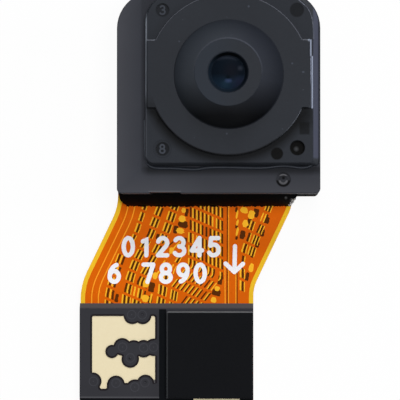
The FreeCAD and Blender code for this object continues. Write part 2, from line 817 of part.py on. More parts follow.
def build_barrel():
    """Lens barrel: stepped bore, winged flange, cone and nose with its aperture."""
    body = new_body("lens_barrel")
    section = new_sketch(body, "section", "XZ_Plane")
    draw_outline(section, [
        (mm.barrel_radius, barrel_foot_z),
        (mm.barrel_radius, block_z),
        (mm.flange_radius, block_z),
        (mm.flange_radius, flange_z),
        (mm.cone_radius, flange_z),
        (mm.nose_radius, nose_z - mm.nose_edge),
        (mm.nose_radius - mm.nose_edge, nose_z),
        (mm.aperture_radius, nose_z),
        (mm.throat_radius, front_lens_z),
        (mm.front_lens_radius, front_lens_z),
        (mm.front_lens_radius, second_lens_z),
        (mm.second_lens_radius, second_lens_z),
        (mm.second_lens_radius, third_lens_z),
        (mm.third_lens_radius, third_lens_z),
        (mm.third_lens_radius, fourth_lens_z),
        (mm.fourth_lens_radius, fourth_lens_z),
        (mm.fourth_lens_radius, rear_lens_z),
        (mm.rear_lens_radius, rear_lens_z),
        (mm.rear_lens_radius, barrel_foot_z),
    ])
    revolve(body, section)
    wings = new_sketch(body, "wings", level=block_z)
    reach, root = mm.wing_half_width, mm.barrel_radius
    ledge_x = reach - mm.wing_ledge
    draw_box(wings, -reach, -root, -mm.wing_down, mm.wing_up)
    draw_outline(wings, [
        (root, -mm.wing_down),
        (reach, -mm.wing_down),
        (reach, mm.wing_ledge_up),
        (ledge_x, mm.wing_ledge_up),
        (ledge_x, mm.wing_up),
        (root, mm.wing_up),
    ])
    pad(body, wings, mm.flange_height)
    dress_edges(body, "Chamfer", mm.flange_edge, lambda edge: at_level(edge, flange_z)
                and math.hypot(edge.Vertexes[0].X, edge.Vertexes[0].Y)
                > mm.flange_radius.number - SAME)
    return [body]


def turned_part(label, corners, domes=()):
    body = new_body(label)
    section = new_sketch(body, "section", "XZ_Plane")
    draw_outline(section, corners, domes)
    revolve(body, section)
    return body


def build_lens(label, radius, clear, front_level, edge, front_sag, rear_sag):
    """Moulded lens: flat seating flange with a domed or hollowed middle on each face."""
    rear_level = front_level - edge
    rim = radius - mm.lens_gap
    corners = [
        (ZERO, rear_level + rear_sag),
        (clear, rear_level),
        (rim, rear_level),
        (rim, front_level),
        (clear, front_level),
        (ZERO, front_level + front_sag),
    ]
    return turned_part(label, corners, domes=(0, 4))


def build_baffle(label, radius, hole, front_level, thickness):
    rim = radius - mm.lens_gap
    rear_level = front_level - thickness
    return turned_part(label, [(hole, rear_level), (rim, rear_level), (rim, front_level),
                               (hole, front_level)])


def build_optics():
    """Five lenses with the baffles, the spacer and the ring that hold them."""
    film = mm.baffle_thickness
    return [
        build_lens("front_lens", mm.front_lens_radius, mm.front_lens_clear, front_lens_z,
                   mm.front_lens_edge, mm.front_lens_dome, mm.front_lens_hollow),
        build_baffle("first_baffle", mm.front_lens_radius, mm.first_baffle_hole,
                     first_baffle_z, film),
        build_lens("second_lens", mm.second_lens_radius, mm.second_lens_clear, second_lens_z,
                   mm.second_lens_edge, -mm.second_lens_hollow, mm.second_lens_dome),
        build_baffle("second_baffle", mm.second_lens_radius, mm.second_baffle_hole,
                     second_baffle_z, film),
        build_lens("third_lens", mm.third_lens_radius, mm.third_lens_clear, third_lens_z,
                   mm.third_lens_edge, -mm.third_lens_hollow, mm.third_lens_hollow),
        build_baffle("spacer_ring", mm.third_lens_radius, mm.spacer_hole, spacer_z,
                     mm.spacer_thickness),
        build_lens("fourth_lens", mm.fourth_lens_radius, mm.fourth_lens_clear, fourth_lens_z,
                   mm.fourth_lens_edge, -mm.fourth_lens_hollow, -mm.fourth_lens_dome),
        build_baffle("third_baffle", mm.fourth_lens_radius, mm.third_baffle_hole,
                     third_baffle_z, film),
        build_rear_lens(),
        build_baffle("retaining_ring", mm.rear_lens_radius, mm.retaining_hole, retaining_z,
                     mm.retaining_thickness),
    ]


def build_rear_lens():
    """Rear lens, hollowed in front and with a ring-shaped hump behind."""
    radius = mm.rear_lens_radius - mm.lens_gap
    clear = mm.rear_lens_clear
    front_level = rear_lens_z
    rear_level = rear_lens_z - mm.rear_lens_edge
    corners = [
        (ZERO, rear_level + mm.rear_lens_rise),
        (mm.rear_lens_hump_radius, rear_level - mm.rear_lens_hump),
        (clear, rear_level),
        (radius, rear_level),
        (radius, front_level),
        (clear, front_level),
        (ZERO, front_level - mm.rear_lens_hollow),
    ]
    return turned_part("rear_lens", corners, domes=(0, 5))


def build_filter():
    """Infrared filter glued under the shelf, over the sensor."""
    return [box_part("infrared_filter", mm.filter_width, mm.filter_depth, mm.filter_thickness,
                     ZERO, ZERO, shelf_z - mm.filter_thickness)]


def build_sensor():
    """Sensor die on its film of die attach, with the wires to the board."""
    film = box_part("die_attach_film", mm.sensor_width, mm.sensor_depth, mm.attach_thickness,
                    ZERO, ZERO, board_z)
    die_z = board_z + mm.attach_thickness
    die = box_part("image_sensor", mm.sensor_width, mm.sensor_depth, mm.sensor_thickness,
                   ZERO, ZERO, die_z)
    top = (die_z + mm.sensor_thickness).number
    foot = board_z.number
    edge_x = mm.sensor_width.number / 2
    gauge = mm.wire_thickness.number
    start = edge_x - mm.wire_inset.number
    stop = edge_x + mm.wire_reach.number
    crest = top + mm.wire_rise.number
    loop = Part.makePolygon([
        FreeCAD.Vector(start, 0, top),
        FreeCAD.Vector(edge_x, 0, crest - gauge),
        FreeCAD.Vector(stop - gauge, 0, foot),
        FreeCAD.Vector(stop, 0, foot),
        FreeCAD.Vector(edge_x, 0, crest),
        FreeCAD.Vector(start, 0, top + gauge),
        FreeCAD.Vector(start, 0, top),
    ])
    wire = Part.Face(loop).extrude(FreeCAD.Vector(0, gauge, 0))
    pitch = mm.wire_pitch.number
    count = int((mm.sensor_depth.number - pitch) / pitch)
    wires = []
    for turn in (0, 180):
        for number in range(count):
            copy = wire.copy()
            copy.translate(FreeCAD.Vector(0, (number - (count - 1) / 2) * pitch - gauge / 2, 0))
            copy.rotate(FreeCAD.Vector(), UP, turn)
            wires.append(copy)
    return [film, die, shape_part("bond_wires", Part.makeCompound(wires))]


def build_board_parts():
    """Decoupling capacitors beside the holder and the memory chip in front of it."""
    length, width = mm.capacitor_length.number, mm.capacitor_width.number
    height = mm.capacitor_height.number
    blocks = []
    pitch = mm.capacitor_pitch.number
    side_count = int(mm.side_capacitor_count.number)
    for number in range(side_count):
        up = (number - (side_count - 1) / 2) * pitch
        corner = FreeCAD.Vector(-mm.capacitor_aside.number - width / 2, up - length / 2, board_z.number)
        blocks.append(Part.makeBox(width, length, height, corner))
    for number in range(int(mm.front_capacitor_count.number)):
        across = -mm.chip_aside.number + number * pitch
        corner = FreeCAD.Vector(across - length / 2, -mm.chip_down.number - width / 2, board_z.number)
        blocks.append(Part.makeBox(length, width, height, corner))
    chip = box_part("memory_chip", mm.chip_width, mm.chip_depth, mm.chip_height,
                    mm.chip_aside, -mm.chip_down, board_z)
    return [shape_part("capacitors", Part.makeCompound(blocks)), chip]


def build_beads():
    """Bead of glue along the foot of the block and sealant over the root of the film."""
    level = housing_z.number
    height = mm.bead_height.number
    width = mm.bead_width.number
    left, right = -mm.foot_left.number, mm.foot_right.number
    front = -mm.foot_front.number
    top = front + mm.bead_left_leg.number
    corner_round = mm.block_front_left_round.number
    right_round = mm.block_front_right_round.number
    outline = [
        plan(left - width, top),
        plan(left - width, front - width, corner_round + width),
        plan(right - right_round, front - width),
        plan(right - right_round, front),
        plan(left, front, corner_round),
        plan(left, top),
    ]
    bead = prism(outline, FreeCAD.Vector(0, 0, height))
    bead.translate(FreeCAD.Vector(0, 0, level))
    crest = [edge for edge in bead.Edges if edge.BoundBox.ZMin > level + height - SAME]
    bead = bead.makeChamfer(mm.bead_edge.number, crest)
    return [shape_part("seating_adhesive", bead), build_root_sealant()]


def build_root_sealant():
    """Black bead along the front wall, over the edge of the board and onto the film."""
    wall_y, board_y = -mm.housing_front.number, -mm.board_front.number
    toe_y = -mm.sealant_front.number
    crest = board_z.number + mm.sealant_rise.number
    film_top = flex_top_z.number
    belly = side((wall_y + toe_y) / 2 - mm.sealant_belly_out.number,
                 (film_top + crest) / 2 + mm.sealant_belly_up.number)[0]
    points = [
        side(wall_y, board_z.number)[0],
        side(board_y, board_z.number)[0],
        side(board_y, film_top)[0],
        side(toe_y, film_top)[0],
    ]
    top = side(wall_y, crest)[0]
    edges = [Part.makeLine(points[n], points[n + 1]) for n in range(3)]
    edges.append(Part.Arc(points[3], belly, top).toShape())
    edges.append(Part.makeLine(top, points[0]))
    section = Part.Face(Part.Wire(edges)).extrude(ACROSS)
    left, right = -mm.sealant_left.number, mm.sealant_right.number
    outline = [
        plan(left, wall_y + CUT_PAST),
        plan(left, toe_y, mm.sealant_left_round.number),
        plan(right - mm.sealant_right_slant.number, toe_y),
        plan(right, wall_y),
        plan(right, wall_y + CUT_PAST),
    ]
    return shape_part("root_sealant", section.common(prism(outline, TALL)))


def window_prism(level, height):
    """The film's window: a rectangle and its narrow tail, less the round tabs."""
    left, right = -mm.window_left.number, -mm.window_right.number
    top, bottom = -mm.window_top.number, -mm.window_bottom.number
    tail_left, tail_right = -mm.window_tail_left.number, -mm.window_tail_right.number
    tail_bottom = -mm.window_tail_bottom.number
    window_round = mm.window_round.number
    travel = FreeCAD.Vector(0, 0, height)
    outline = [
        plan(left, top, window_round),
        plan(left, bottom),
        plan(tail_left, bottom),
        plan(tail_left, tail_bottom, window_round),
        plan(tail_right, tail_bottom, window_round),
        plan(tail_right, bottom),
        plan(right, bottom),
        plan(right, top, window_round),
    ]
    opening = prism(outline, travel)
    wide, small = mm.tab_radius.number, mm.small_tab_radius.number
    tabs = [(wide, across, top - down) for across, down in TOP_TABS + MIDDLE_TABS]
    tabs += [(small, across, top - down) for across, down in SMALL_TABS]
    tabs += [(wide, across, bottom + up) for across, up in BOTTOM_TABS]
    for radius, across, up in tabs:
        centre = FreeCAD.Vector(right - across, up, 0)
        opening = opening.cut(Part.makeCylinder(radius, height, centre))
    opening.translate(FreeCAD.Vector(0, 0, level))
    return opening


def plated_area(left, right, front, back, level, thickness):
    return Part.makeBox(right - left, back - front, thickness, FreeCAD.Vector(left, front, level))


def build_connector_end():
    """Stiffener, plated pads, cover film and cushion pad on the end of the tail."""
    stiffener = rounded_plate("end_stiffener", -mm.end_left, mm.tail_end_right,
                              -mm.stiffener_end, -mm.stiffener_top, (mm.end_round,) * 4,
                              end_flex_top_z, mm.stiffener_thickness)
    level = stiffener_z.number
    left, right = -mm.end_left.number, mm.tail_end_right.number
    film_top, film_end = -mm.film_top.number, -mm.film_end.number
    top_z, base_z = film_z.number, end_flex_top_z.number
    section = [
        side(film_top, base_z),
        side(film_top, base_z + mm.film_lip.number),
        side(film_top - mm.film_ramp.number, top_z),
        side(film_end, top_z),
        side(film_end, level),
        side(-mm.stiffener_top.number, level),
        side(-mm.stiffener_top.number, base_z),
    ]
    footprint = [plan(left, film_top), plan(left, film_end, mm.end_round.number),
                 plan(right, film_end, mm.end_round.number), plan(right, film_top)]
    film = prism(section, ACROSS).common(prism(footprint, TALL))
    film = film.cut(window_prism(level - CUT_PAST, 2 * CUT_PAST))
    groove_left, groove_right = -mm.groove_left.number, -mm.groove_right.number
    groove_top = -mm.groove_top.number
    groove = Part.makeBox(groove_right - groove_left, groove_top - film_end + CUT_PAST, CUT_PAST,
                          FreeCAD.Vector(groove_left, film_end - CUT_PAST, level))
    film = film.cut(groove)
    gold = mm.gold_thickness.number
    margin = mm.gold_margin.number
    area_left, area_right = -mm.window_left.number - margin, -mm.window_right.number + margin
    area_front = -mm.window_tail_bottom.number - margin
    area_back = -mm.window_top.number + margin
    strip_left, strip_right = -mm.strip_left.number, mm.strip_right.number
    strip_front = film_end - mm.gold_clearance.number - mm.strip_width.number
    area = plated_area(area_left, area_right, area_front, area_back, level, gold)
    strip = plated_area(strip_left, strip_right, strip_front,
                        strip_front + mm.strip_width.number, level, gold)
    pads = Part.makeCompound([area, strip])
    film = film.cut(area)
    cushion = new_body("cushion_pad")
    outline = new_sketch(cushion, "outline", level=film_z)
    draw_rounded_box(outline, -mm.cushion_left, mm.tail_end_right, -mm.cushion_end,
                     -mm.cushion_top, (mm.end_round,) * 4)
    pad(cushion, outline, mm.cushion_height)
    dress_edges(cushion, "Chamfer", mm.cushion_edge,
                lambda edge: at_level(edge, film_z + mm.cushion_height))
    return [stiffener, shape_part("gold_pads", pads), shape_part("end_cover_film", film), cushion]


def build_plug():
    """Plug of the board-to-board connector, facing down under the end of the tail."""
    height = end_flex_z
    block = box_part("plug_block", mm.plug_length, mm.plug_width, height,
                     -mm.plug_across, -mm.plug_down, ZERO)
    channel = box_part("plug_channel", mm.plug_length - mm.plug_channel, mm.plug_channel,
                       mm.plug_channel_depth, -mm.plug_across, -mm.plug_down, ZERO)
    housing = doc.addObject("Part::Cut", "connector_housing")
    housing.Label = "connector_housing"
    housing.Base = block
    housing.Tool = channel
    centre = FreeCAD.Vector(-mm.plug_across.number, -mm.plug_down.number, 0)
    wall = mm.plug_width.number / 2
    metal = mm.contact_thickness.number
    top = height.number
    low = top - mm.contact_drop.number
    width = mm.contact_width.number
    contact = Part.makeBox(width, metal, top - low, FreeCAD.Vector(-width / 2, wall, low))
    foot = Part.makeBox(width, mm.contact_reach.number, metal,
                        FreeCAD.Vector(-width / 2, wall + metal, top - metal))
    contact = contact.fuse(foot).removeSplitter()
    count = int(mm.contact_count.number)
    contacts = []
    for turn in (0, 180):
        for number in range(count):
            copy = contact.copy()
            across = (number - (count - 1) / 2) * mm.contact_pitch.number
            copy.translate(FreeCAD.Vector(across, 0, 0))
            copy.rotate(FreeCAD.Vector(), UP, turn)
            copy.translate(centre)
            contacts.append(copy)
    half = mm.plug_length.number / 2
    clip_width = mm.hold_down_width.number
    clip = Part.makeBox(metal, clip_width, top - low, FreeCAD.Vector(half, -clip_width / 2, low))
    clip_foot = Part.makeBox(mm.hold_down_foot.number, clip_width, metal,
                             FreeCAD.Vector(half + metal, -clip_width / 2, top - metal))
    clip = clip.fuse(clip_foot).removeSplitter()
    clips = []
    for turn in (0, 180):
        copy = clip.copy()
        copy.rotate(FreeCAD.Vector(), UP, turn)
        copy.translate(centre)
        clips.append(copy)
    return [housing, shape_part("connector_contacts", Part.makeCompound(contacts)),
            shape_part("connector_hold_downs", Part.makeCompound(clips))]


builders = (build_board, build_flex, build_sensor, build_board_parts, build_filter, build_holder,
            build_bracket, build_barrel, build_optics, build_beads, build_connector_end, build_plug)
parts = [part for build in builders for part in build()]
doc.recompute()

faults = [item.Label for item in doc.Objects if "Invalid" in item.State or "Error" in item.State]
faults += [part.Label for part in parts if part.Shape.isNull() or not part.Shape.isValid()]
if faults:
    raise RuntimeError(f"These pieces failed: {sorted(set(faults))}")
os.makedirs("parts", exist_ok=True)
for part in parts:
    part.Shape.exportStep(f"parts/{part.Label}.step")
    print(part.Label, len(part.Shape.Solids), round(part.Shape.Volume, 4))
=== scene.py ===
import bisect
import math
import random

import bmesh
import bpy
from mathutils import Matrix, Vector
from mathutils.bvhtree import BVHTree


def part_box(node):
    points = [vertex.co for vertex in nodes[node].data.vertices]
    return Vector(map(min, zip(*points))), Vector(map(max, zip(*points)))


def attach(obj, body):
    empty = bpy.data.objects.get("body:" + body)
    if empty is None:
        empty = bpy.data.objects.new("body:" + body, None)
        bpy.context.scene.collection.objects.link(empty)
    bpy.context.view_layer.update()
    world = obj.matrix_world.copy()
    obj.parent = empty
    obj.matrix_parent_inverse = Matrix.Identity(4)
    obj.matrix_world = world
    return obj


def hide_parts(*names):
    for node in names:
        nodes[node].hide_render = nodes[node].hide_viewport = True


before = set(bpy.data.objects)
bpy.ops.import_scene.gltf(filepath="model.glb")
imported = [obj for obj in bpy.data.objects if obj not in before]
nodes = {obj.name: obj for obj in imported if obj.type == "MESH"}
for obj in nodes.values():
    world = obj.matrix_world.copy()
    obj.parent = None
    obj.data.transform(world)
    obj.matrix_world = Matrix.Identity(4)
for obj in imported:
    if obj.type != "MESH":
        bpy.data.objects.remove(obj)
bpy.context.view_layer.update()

MM = 0.001

# How the photograph sees the module: the camera's foot, its height and its scale.
FOOT_PIXEL = (290, 240)
FOOT_PLACE = (2.533 * MM, -6.867 * MM)
CAMERA_HEIGHT = 110 * MM
CAMERA_PIXELS = 2560.8
FRAME_PIXELS = 400
FRAME_CENTRE = (-1.217 * MM, -5.200 * MM, 3.3 * MM)
SENSOR_WIDTH = 36

# Where the film and the end lie, for places read off the photograph.
FILM_LEVEL = 0.55 * MM
END_LEVEL = 0.93 * MM


def place(across, down, level):
    """Place in the frame of a point of the photograph, at a known height."""
    scale = CAMERA_PIXELS / (CAMERA_HEIGHT - level)
    return Vector((FOOT_PLACE[0] + (across - FOOT_PIXEL[0]) / scale,
                   FOOT_PLACE[1] + (FOOT_PIXEL[1] - down) / scale))


def mark_at(across, down, level):
    spot = place(across, down, level)
    return spot.x, spot.y


def pixels(count, level=FILM_LEVEL):
    """Length in the frame of so many pixels of the photograph."""
    return count * (CAMERA_HEIGHT - level) / CAMERA_PIXELS


# Node trees and finishes

class Socket:
    """An output socket that can be used in sums."""

    def __init__(self, owner, output):
        self.owner = owner
        self.output = output

    def math(self, operation, first, second):
        return self.owner.node("ShaderNodeMath", {"operation": operation}, {0: first, 1: second})

    def __add__(self, other):
        return self.math("ADD", self, other)

    __radd__ = __add__

    def __sub__(self, other):
        return self.math("SUBTRACT", self, other)

    def __rsub__(self, other):
        return self.math("SUBTRACT", other, self)

    def __mul__(self, other):
        return self.math("MULTIPLY", self, other)

    __rmul__ = __mul__

    def __truediv__(self, other):
        return self.math("DIVIDE", self, other)

    def __rtruediv__(self, other):
        return self.math("DIVIDE", other, self)

    def __neg__(self):
        return self.math("MULTIPLY", self, -1)

    def __abs__(self):
        return self.math("ABSOLUTE", self, 0)

    def or_more(self, other):
        """The larger of two values."""
        return self.math("MAXIMUM", self, other)


class Tree:
    """The node tree of a material or the world."""

    def __init__(self, block):
        block.use_nodes = True
        self.tree = block.node_tree
        self.tree.nodes.clear()

    def node(self, kind, settings, inputs, output=0):
        made = self.tree.nodes.new(kind)
        for name, value in settings.items():
            setattr(made, name, value)
        for name, value in inputs.items():
            connect(self.tree, made.inputs[name], value)
        return Socket(self, made.outputs[output]) if made.outputs else None


class Finish(Tree):
    """A surface finish: a node tree whose last shader takes what the maker gives it."""

    def __init__(self, name, colour, roughness=0.5, **constants):
        self.material = bpy.data.materials.new(name)
        super().__init__(self.material)
        surface = self.node("ShaderNodeBsdfPrincipled", {}, {})
        self.node("ShaderNodeOutputMaterial", {}, {"Surface": surface})
        self.shader = surface.output.node
        self.colour = linear(colour)
        self.set("Base Color", self.colour)
        self.set("Roughness", roughness)
        for socket, value in constants.items():
            self.set(socket.replace("_", " "), value)
        self.where = self.node("ShaderNodeTexCoord", {}, {}, "Object")
        self.tint = self.colour
        self.heights = []

    def set(self, name, value):
        """Give a socket of the shader a number, a colour or what varies over the surface."""
        connect(self.tree, self.shader.inputs[name], value)

    def noise(self, grains_per_mm, detail=2.0, stretch=(1, 1, 1)):
        """Cloudy value from 0 to 1 with so many grains to the millimetre."""
        grid = tuple(share * grains_per_mm / MM for share in stretch)
        spot = self.node("ShaderNodeVectorMath", {"operation": "MULTIPLY"},
                         {0: self.where, 1: grid})
        return self.node("ShaderNodeTexNoise", {}, {"Vector": spot, "Scale": 1.0,
                                                    "Detail": detail})

    def part_of(self, value, low, high):
        """0 below low, 1 above high and even between."""
        return self.node("ShaderNodeMapRange", {"clamp": True},
                         {"Value": value, "From Min": low, "From Max": high})

    def under(self, value, low, high):
        """1 below low, 0 above high and even between."""
        return 1 - self.part_of(value, low, high)

    def between(self, value, low, high, soft):
        """1 between two limits and 0 beyond them, with a soft width inside each."""
        return self.part_of(value, low, low + soft) * self.under(value, high - soft, high)

    def blend(self, share, first, second):
        return self.node("ShaderNodeMix", {"data_type": "RGBA"},
                         {"Factor": share, "A": first, "B": second}, "Result")

    def axis(self, letter):
        """One coordinate of the place on the surface, in millimetres."""
        return self.node("ShaderNodeSeparateXYZ", {}, {0: self.where}, letter) / MM

    def far(self, centre):
        """Distance in plan from a place, in millimetres."""
        flat = self.node("ShaderNodeVectorMath", {"operation": "MULTIPLY"},
                         {0: self.where, 1: (1 / MM, 1 / MM, 0)})
        return self.node("ShaderNodeVectorMath", {"operation": "DISTANCE"},
                         {0: flat, 1: (centre[0] / MM, centre[1] / MM, 0)}, "Value")

    def outside(self, low, high):
        """Distance in plan outside of a rectangle whose corners are in millimetres."""
        across, up = (abs(self.axis(letter) - (start + stop) / 2) - (stop - start) / 2
                      for letter, start, stop in zip("XY", low, high))
        return across.or_more(up)

    def paint(self, share, colour):
        """Lay a colour over the tint where the share is 1."""
        self.tint = self.blend(share, self.tint, linear(colour))
        self.set("Base Color", self.tint)

    def dim(self, share, factor):
        """Darken or lighten the tint where the share is 1."""
        self.tint = self.node("ShaderNodeMix", {"data_type": "RGBA", "blend_type": "MULTIPLY"},
                              {"Factor": share, "A": self.tint,
                               "B": (factor, factor, factor, 1)}, "Result")
        self.set("Base Color", self.tint)

    def dot(self, centre, radius, soft=0.03):
        """1 inside a round spot of so many millimetres and 0 outside."""
        return self.under(self.far(centre), radius - soft, radius + soft)

    def hoop(self, centre, radius, width, soft=0.02):
        """1 on a ring of so many millimetres and 0 elsewhere."""
        away = abs(self.far(centre) - radius)
        return self.under(away, width / 2 - soft, width / 2 + soft)

    def emboss(self, height, depth_mm, strength=1.0):
        """Raise the surface by so many millimetres where the height is 1."""
        bump = {"Height": height, "Distance": depth_mm * MM, "Strength": strength}
        if self.heights:
            bump["Normal"] = self.heights[-1]
        self.heights.append(self.node("ShaderNodeBump", {}, bump))
        self.set("Normal", self.heights[-1])


def connect(tree, target, value):
    if isinstance(value, Socket):
        tree.links.new(value.output, target)
    elif hasattr(target.default_value, "__len__") and not isinstance(value, (int, float)):
        target.default_value = tuple(value)[:len(target.default_value)]
    else:
        target.default_value = value


def linear(colour):
    """A colour as it looks, in parts of 255, turned into light."""
    def part(level):
        share = level / 255
        return share / 12.92 if share <= 0.04045 else ((share + 0.055) / 1.055) ** 2.4
    return (*(part(level) for level in colour), 1)


def shade(colour, factor):
    return (*(part * factor for part in colour[:3]), 1)


def moulded(name, colour, roughness=0.55, grain_mm=0.0012, specks=0.0, gloss=0.06):
    """Moulded plastic with fine grain, slow cloudiness and now and then a pale speck."""
    finish = Finish(name, colour, roughness, Specular_IOR_Level=gloss)
    clouds = finish.noise(0.5, 3)
    fine = finish.noise(14, 2)
    tint = finish.blend(clouds, shade(finish.colour, 0.86), shade(finish.colour, 1.14))
    tint = finish.blend(fine * 0.3, tint, shade(finish.colour, 0.7))
    if specks:
        spots = finish.part_of(finish.noise(5.5, 0), 0.82, 0.85) * specks
        tint = finish.blend(spots, tint, linear((104, 112, 128)))
    finish.tint = tint
    finish.set("Base Color", tint)
    finish.set("Roughness", roughness + (fine - 0.5) * 0.12)
    finish.emboss(fine, grain_mm)
    finish.emboss(finish.noise(3, 2), grain_mm * 1.6, 0.5)
    return finish


def clear_glass(name, colour, alpha):
    """Clear moulded lens or filter glass, with a faint swirl in its polish."""
    finish = Finish(name, colour, 0.05, Alpha=alpha, Coat_Weight=0.5, IOR=1.53)
    swirl = finish.noise(0.8, 1)
    finish.set("Base Color", finish.blend(swirl, finish.colour, shade(finish.colour, 0.92)))
    finish.set("Roughness", 0.04 + swirl * 0.03)
    return finish


def metal(name, colour, roughness, grain=(1, 1, 1)):
    """Rolled or plated metal with fine drawn lines."""
    finish = Finish(name, colour, roughness, Metallic=1.0)
    lines = finish.noise(12, 2, grain)
    finish.set("Base Color", finish.blend(lines, shade(finish.colour, 0.88), finish.colour))
    finish.set("Roughness", roughness + (lines - 0.5) * 0.1)
    finish.emboss(lines, 0.0006)
    return finish


def film_surface(name, colour, roughness=0.42):
    """Lacquered film or print on it: nearly flat, with a faint weave of ripples."""
    finish = Finish(name, colour, roughness, Specular_IOR_Level=0.02)
    ripples = finish.noise(2.2, 2)
    fine = finish.noise(16, 1)
    tint = finish.blend(ripples, shade(finish.colour, 0.94), shade(finish.colour, 1.06))
    finish.tint = tint
    finish.set("Base Color", tint)
    finish.set("Roughness", roughness + (fine - 0.5) * 0.1)
    finish.emboss(ripples, 0.002, 0.4)
    return finish


housing_black = moulded("housing_black", (56, 58, 65), 0.6)
holder_black = moulded("holder_black", (43, 46, 52), 0.55)
barrel_black = moulded("barrel_black", (42, 45, 51), 0.5, 0.0008, specks=0.22)
inner_black = moulded("inner_black", (22, 22, 25), 0.6)
film_grey = moulded("film_grey", (51, 51, 56), 0.6)
laminate = moulded("laminate", (30, 36, 32), 0.5)
stiffener_black = moulded("stiffener_black", (10, 13, 17), 0.6, gloss=0.04)
chip_black = moulded("chip_black", (34, 34, 36), 0.6)
plug_black = moulded("plug_black", (32, 32, 34), 0.5)
die_film = moulded("die_film", (60, 60, 60), 0.7)
capacitor_body = moulded("capacitor_body", (148, 118, 90), 0.6)
seat_glue = moulded("seat_glue", (30, 33, 39), 0.4, 0.001)
root_glue = moulded("root_glue", (3, 4, 5), 0.6, 0.008, gloss=0.03)
cushion_black = moulded("cushion_black", (16, 17, 20), 0.75, 0.003, gloss=0.06)
ring_black = moulded("ring_black", (34, 34, 37), 0.6)

front_glass = Finish("front_glass", (5, 9, 17), 0.5, Specular_IOR_Level=0.02)
lens_glass = clear_glass("lens_glass", (225, 232, 240), 0.35)
filter_glass = clear_glass("filter_glass", (150, 190, 200), 0.4)
rear_steel = metal("rear_steel", (178, 178, 182), 0.35, (1, 0.04, 1))
gold_plate = Finish("gold_plate", (227, 214, 182), 0.45)
contact_gold = metal("contact_gold", (225, 190, 120), 0.3)
wire_gold = metal("wire_gold", (230, 195, 130), 0.25)
tinned_metal = metal("tinned_metal", (200, 200, 200), 0.35)
silicon = Finish("silicon", (62, 66, 78), 0.15)

polyimide = film_surface("polyimide", (219, 97, 0))
bare_film = film_surface("bare_film", (238, 188, 40))
thin_track = film_surface("thin_track", (250, 160, 36))
window_yellow = film_surface("window_yellow", (252, 184, 40))
window_dark = film_surface("window_dark", (88, 42, 2))
slit_brown = film_surface("slit_brown", (100, 44, 4))
white_ink = film_surface("white_ink", (242, 241, 246), 0.5)
film_ring = moulded("film_ring", (62, 62, 68), 0.6)
edge_black = moulded("edge_black", (98, 101, 112), 0.55)
crumb_grey = moulded("crumb_grey", (212, 210, 208), 0.7)
# Dark strip of painted shade along the edge of the end film's window.
window_shade_rim = moulded("window_shade_rim", (30, 26, 30), 0.6)
mark_black = moulded("mark_black", (60, 64, 72), 0.55)
FILM_FINISHES = (polyimide, bare_film, thin_track, window_yellow, white_ink)

# Levels that the finishes are drawn at
BLOCK_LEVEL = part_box("lens_holder")[1].z
PLATE_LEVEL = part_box("housing_bracket")[1].z
FLANGE_LEVEL = 3.95 * MM

# Painted light: how much lighter the film's colour is made next to the sealant, against the
# housing's shadow, and how much darker at its foot.
ROOT_PAINTED_LIGHT, FOOT_GAIN = 1.12, 0.95


def paint_film():
    """Painted light: the film is lighter next to the sealant, against the housing's shadow, so it
    looks evenly bright all the way.
    """
    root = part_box("root_sealant")[0].y / MM
    for finish in FILM_FINISHES:
        up = finish.axis("Y")
        finish.dim(finish.part_of(up, root - 1.6, root + 0.1), ROOT_PAINTED_LIGHT)
        if finish is not white_ink:
            finish.dim(finish.under(up, root - 3.8, root - 2.2), FOOT_GAIN)


# Corners of the block's foot on the plate, in millimetres, and the plate's marks in pixels: a
# painted highlight on the notch's edge, and the dimple drawn in painted highlight and shade.
BLOCK_FOOT = ((-3.64, -3.86), (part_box("lens_holder")[1].x / MM, 4.0))
NOTCH_EDGE_HIGHLIGHT = ((148.5, 191.3), (180.5, 191.3))
DIMPLE, DIMPLE_PIT = (283.3, 179.7), (283.5, 178)
DIMPLE_HIGHLIGHT, DIMPLE_SHADE = (104, 104, 108), (6, 6, 8)


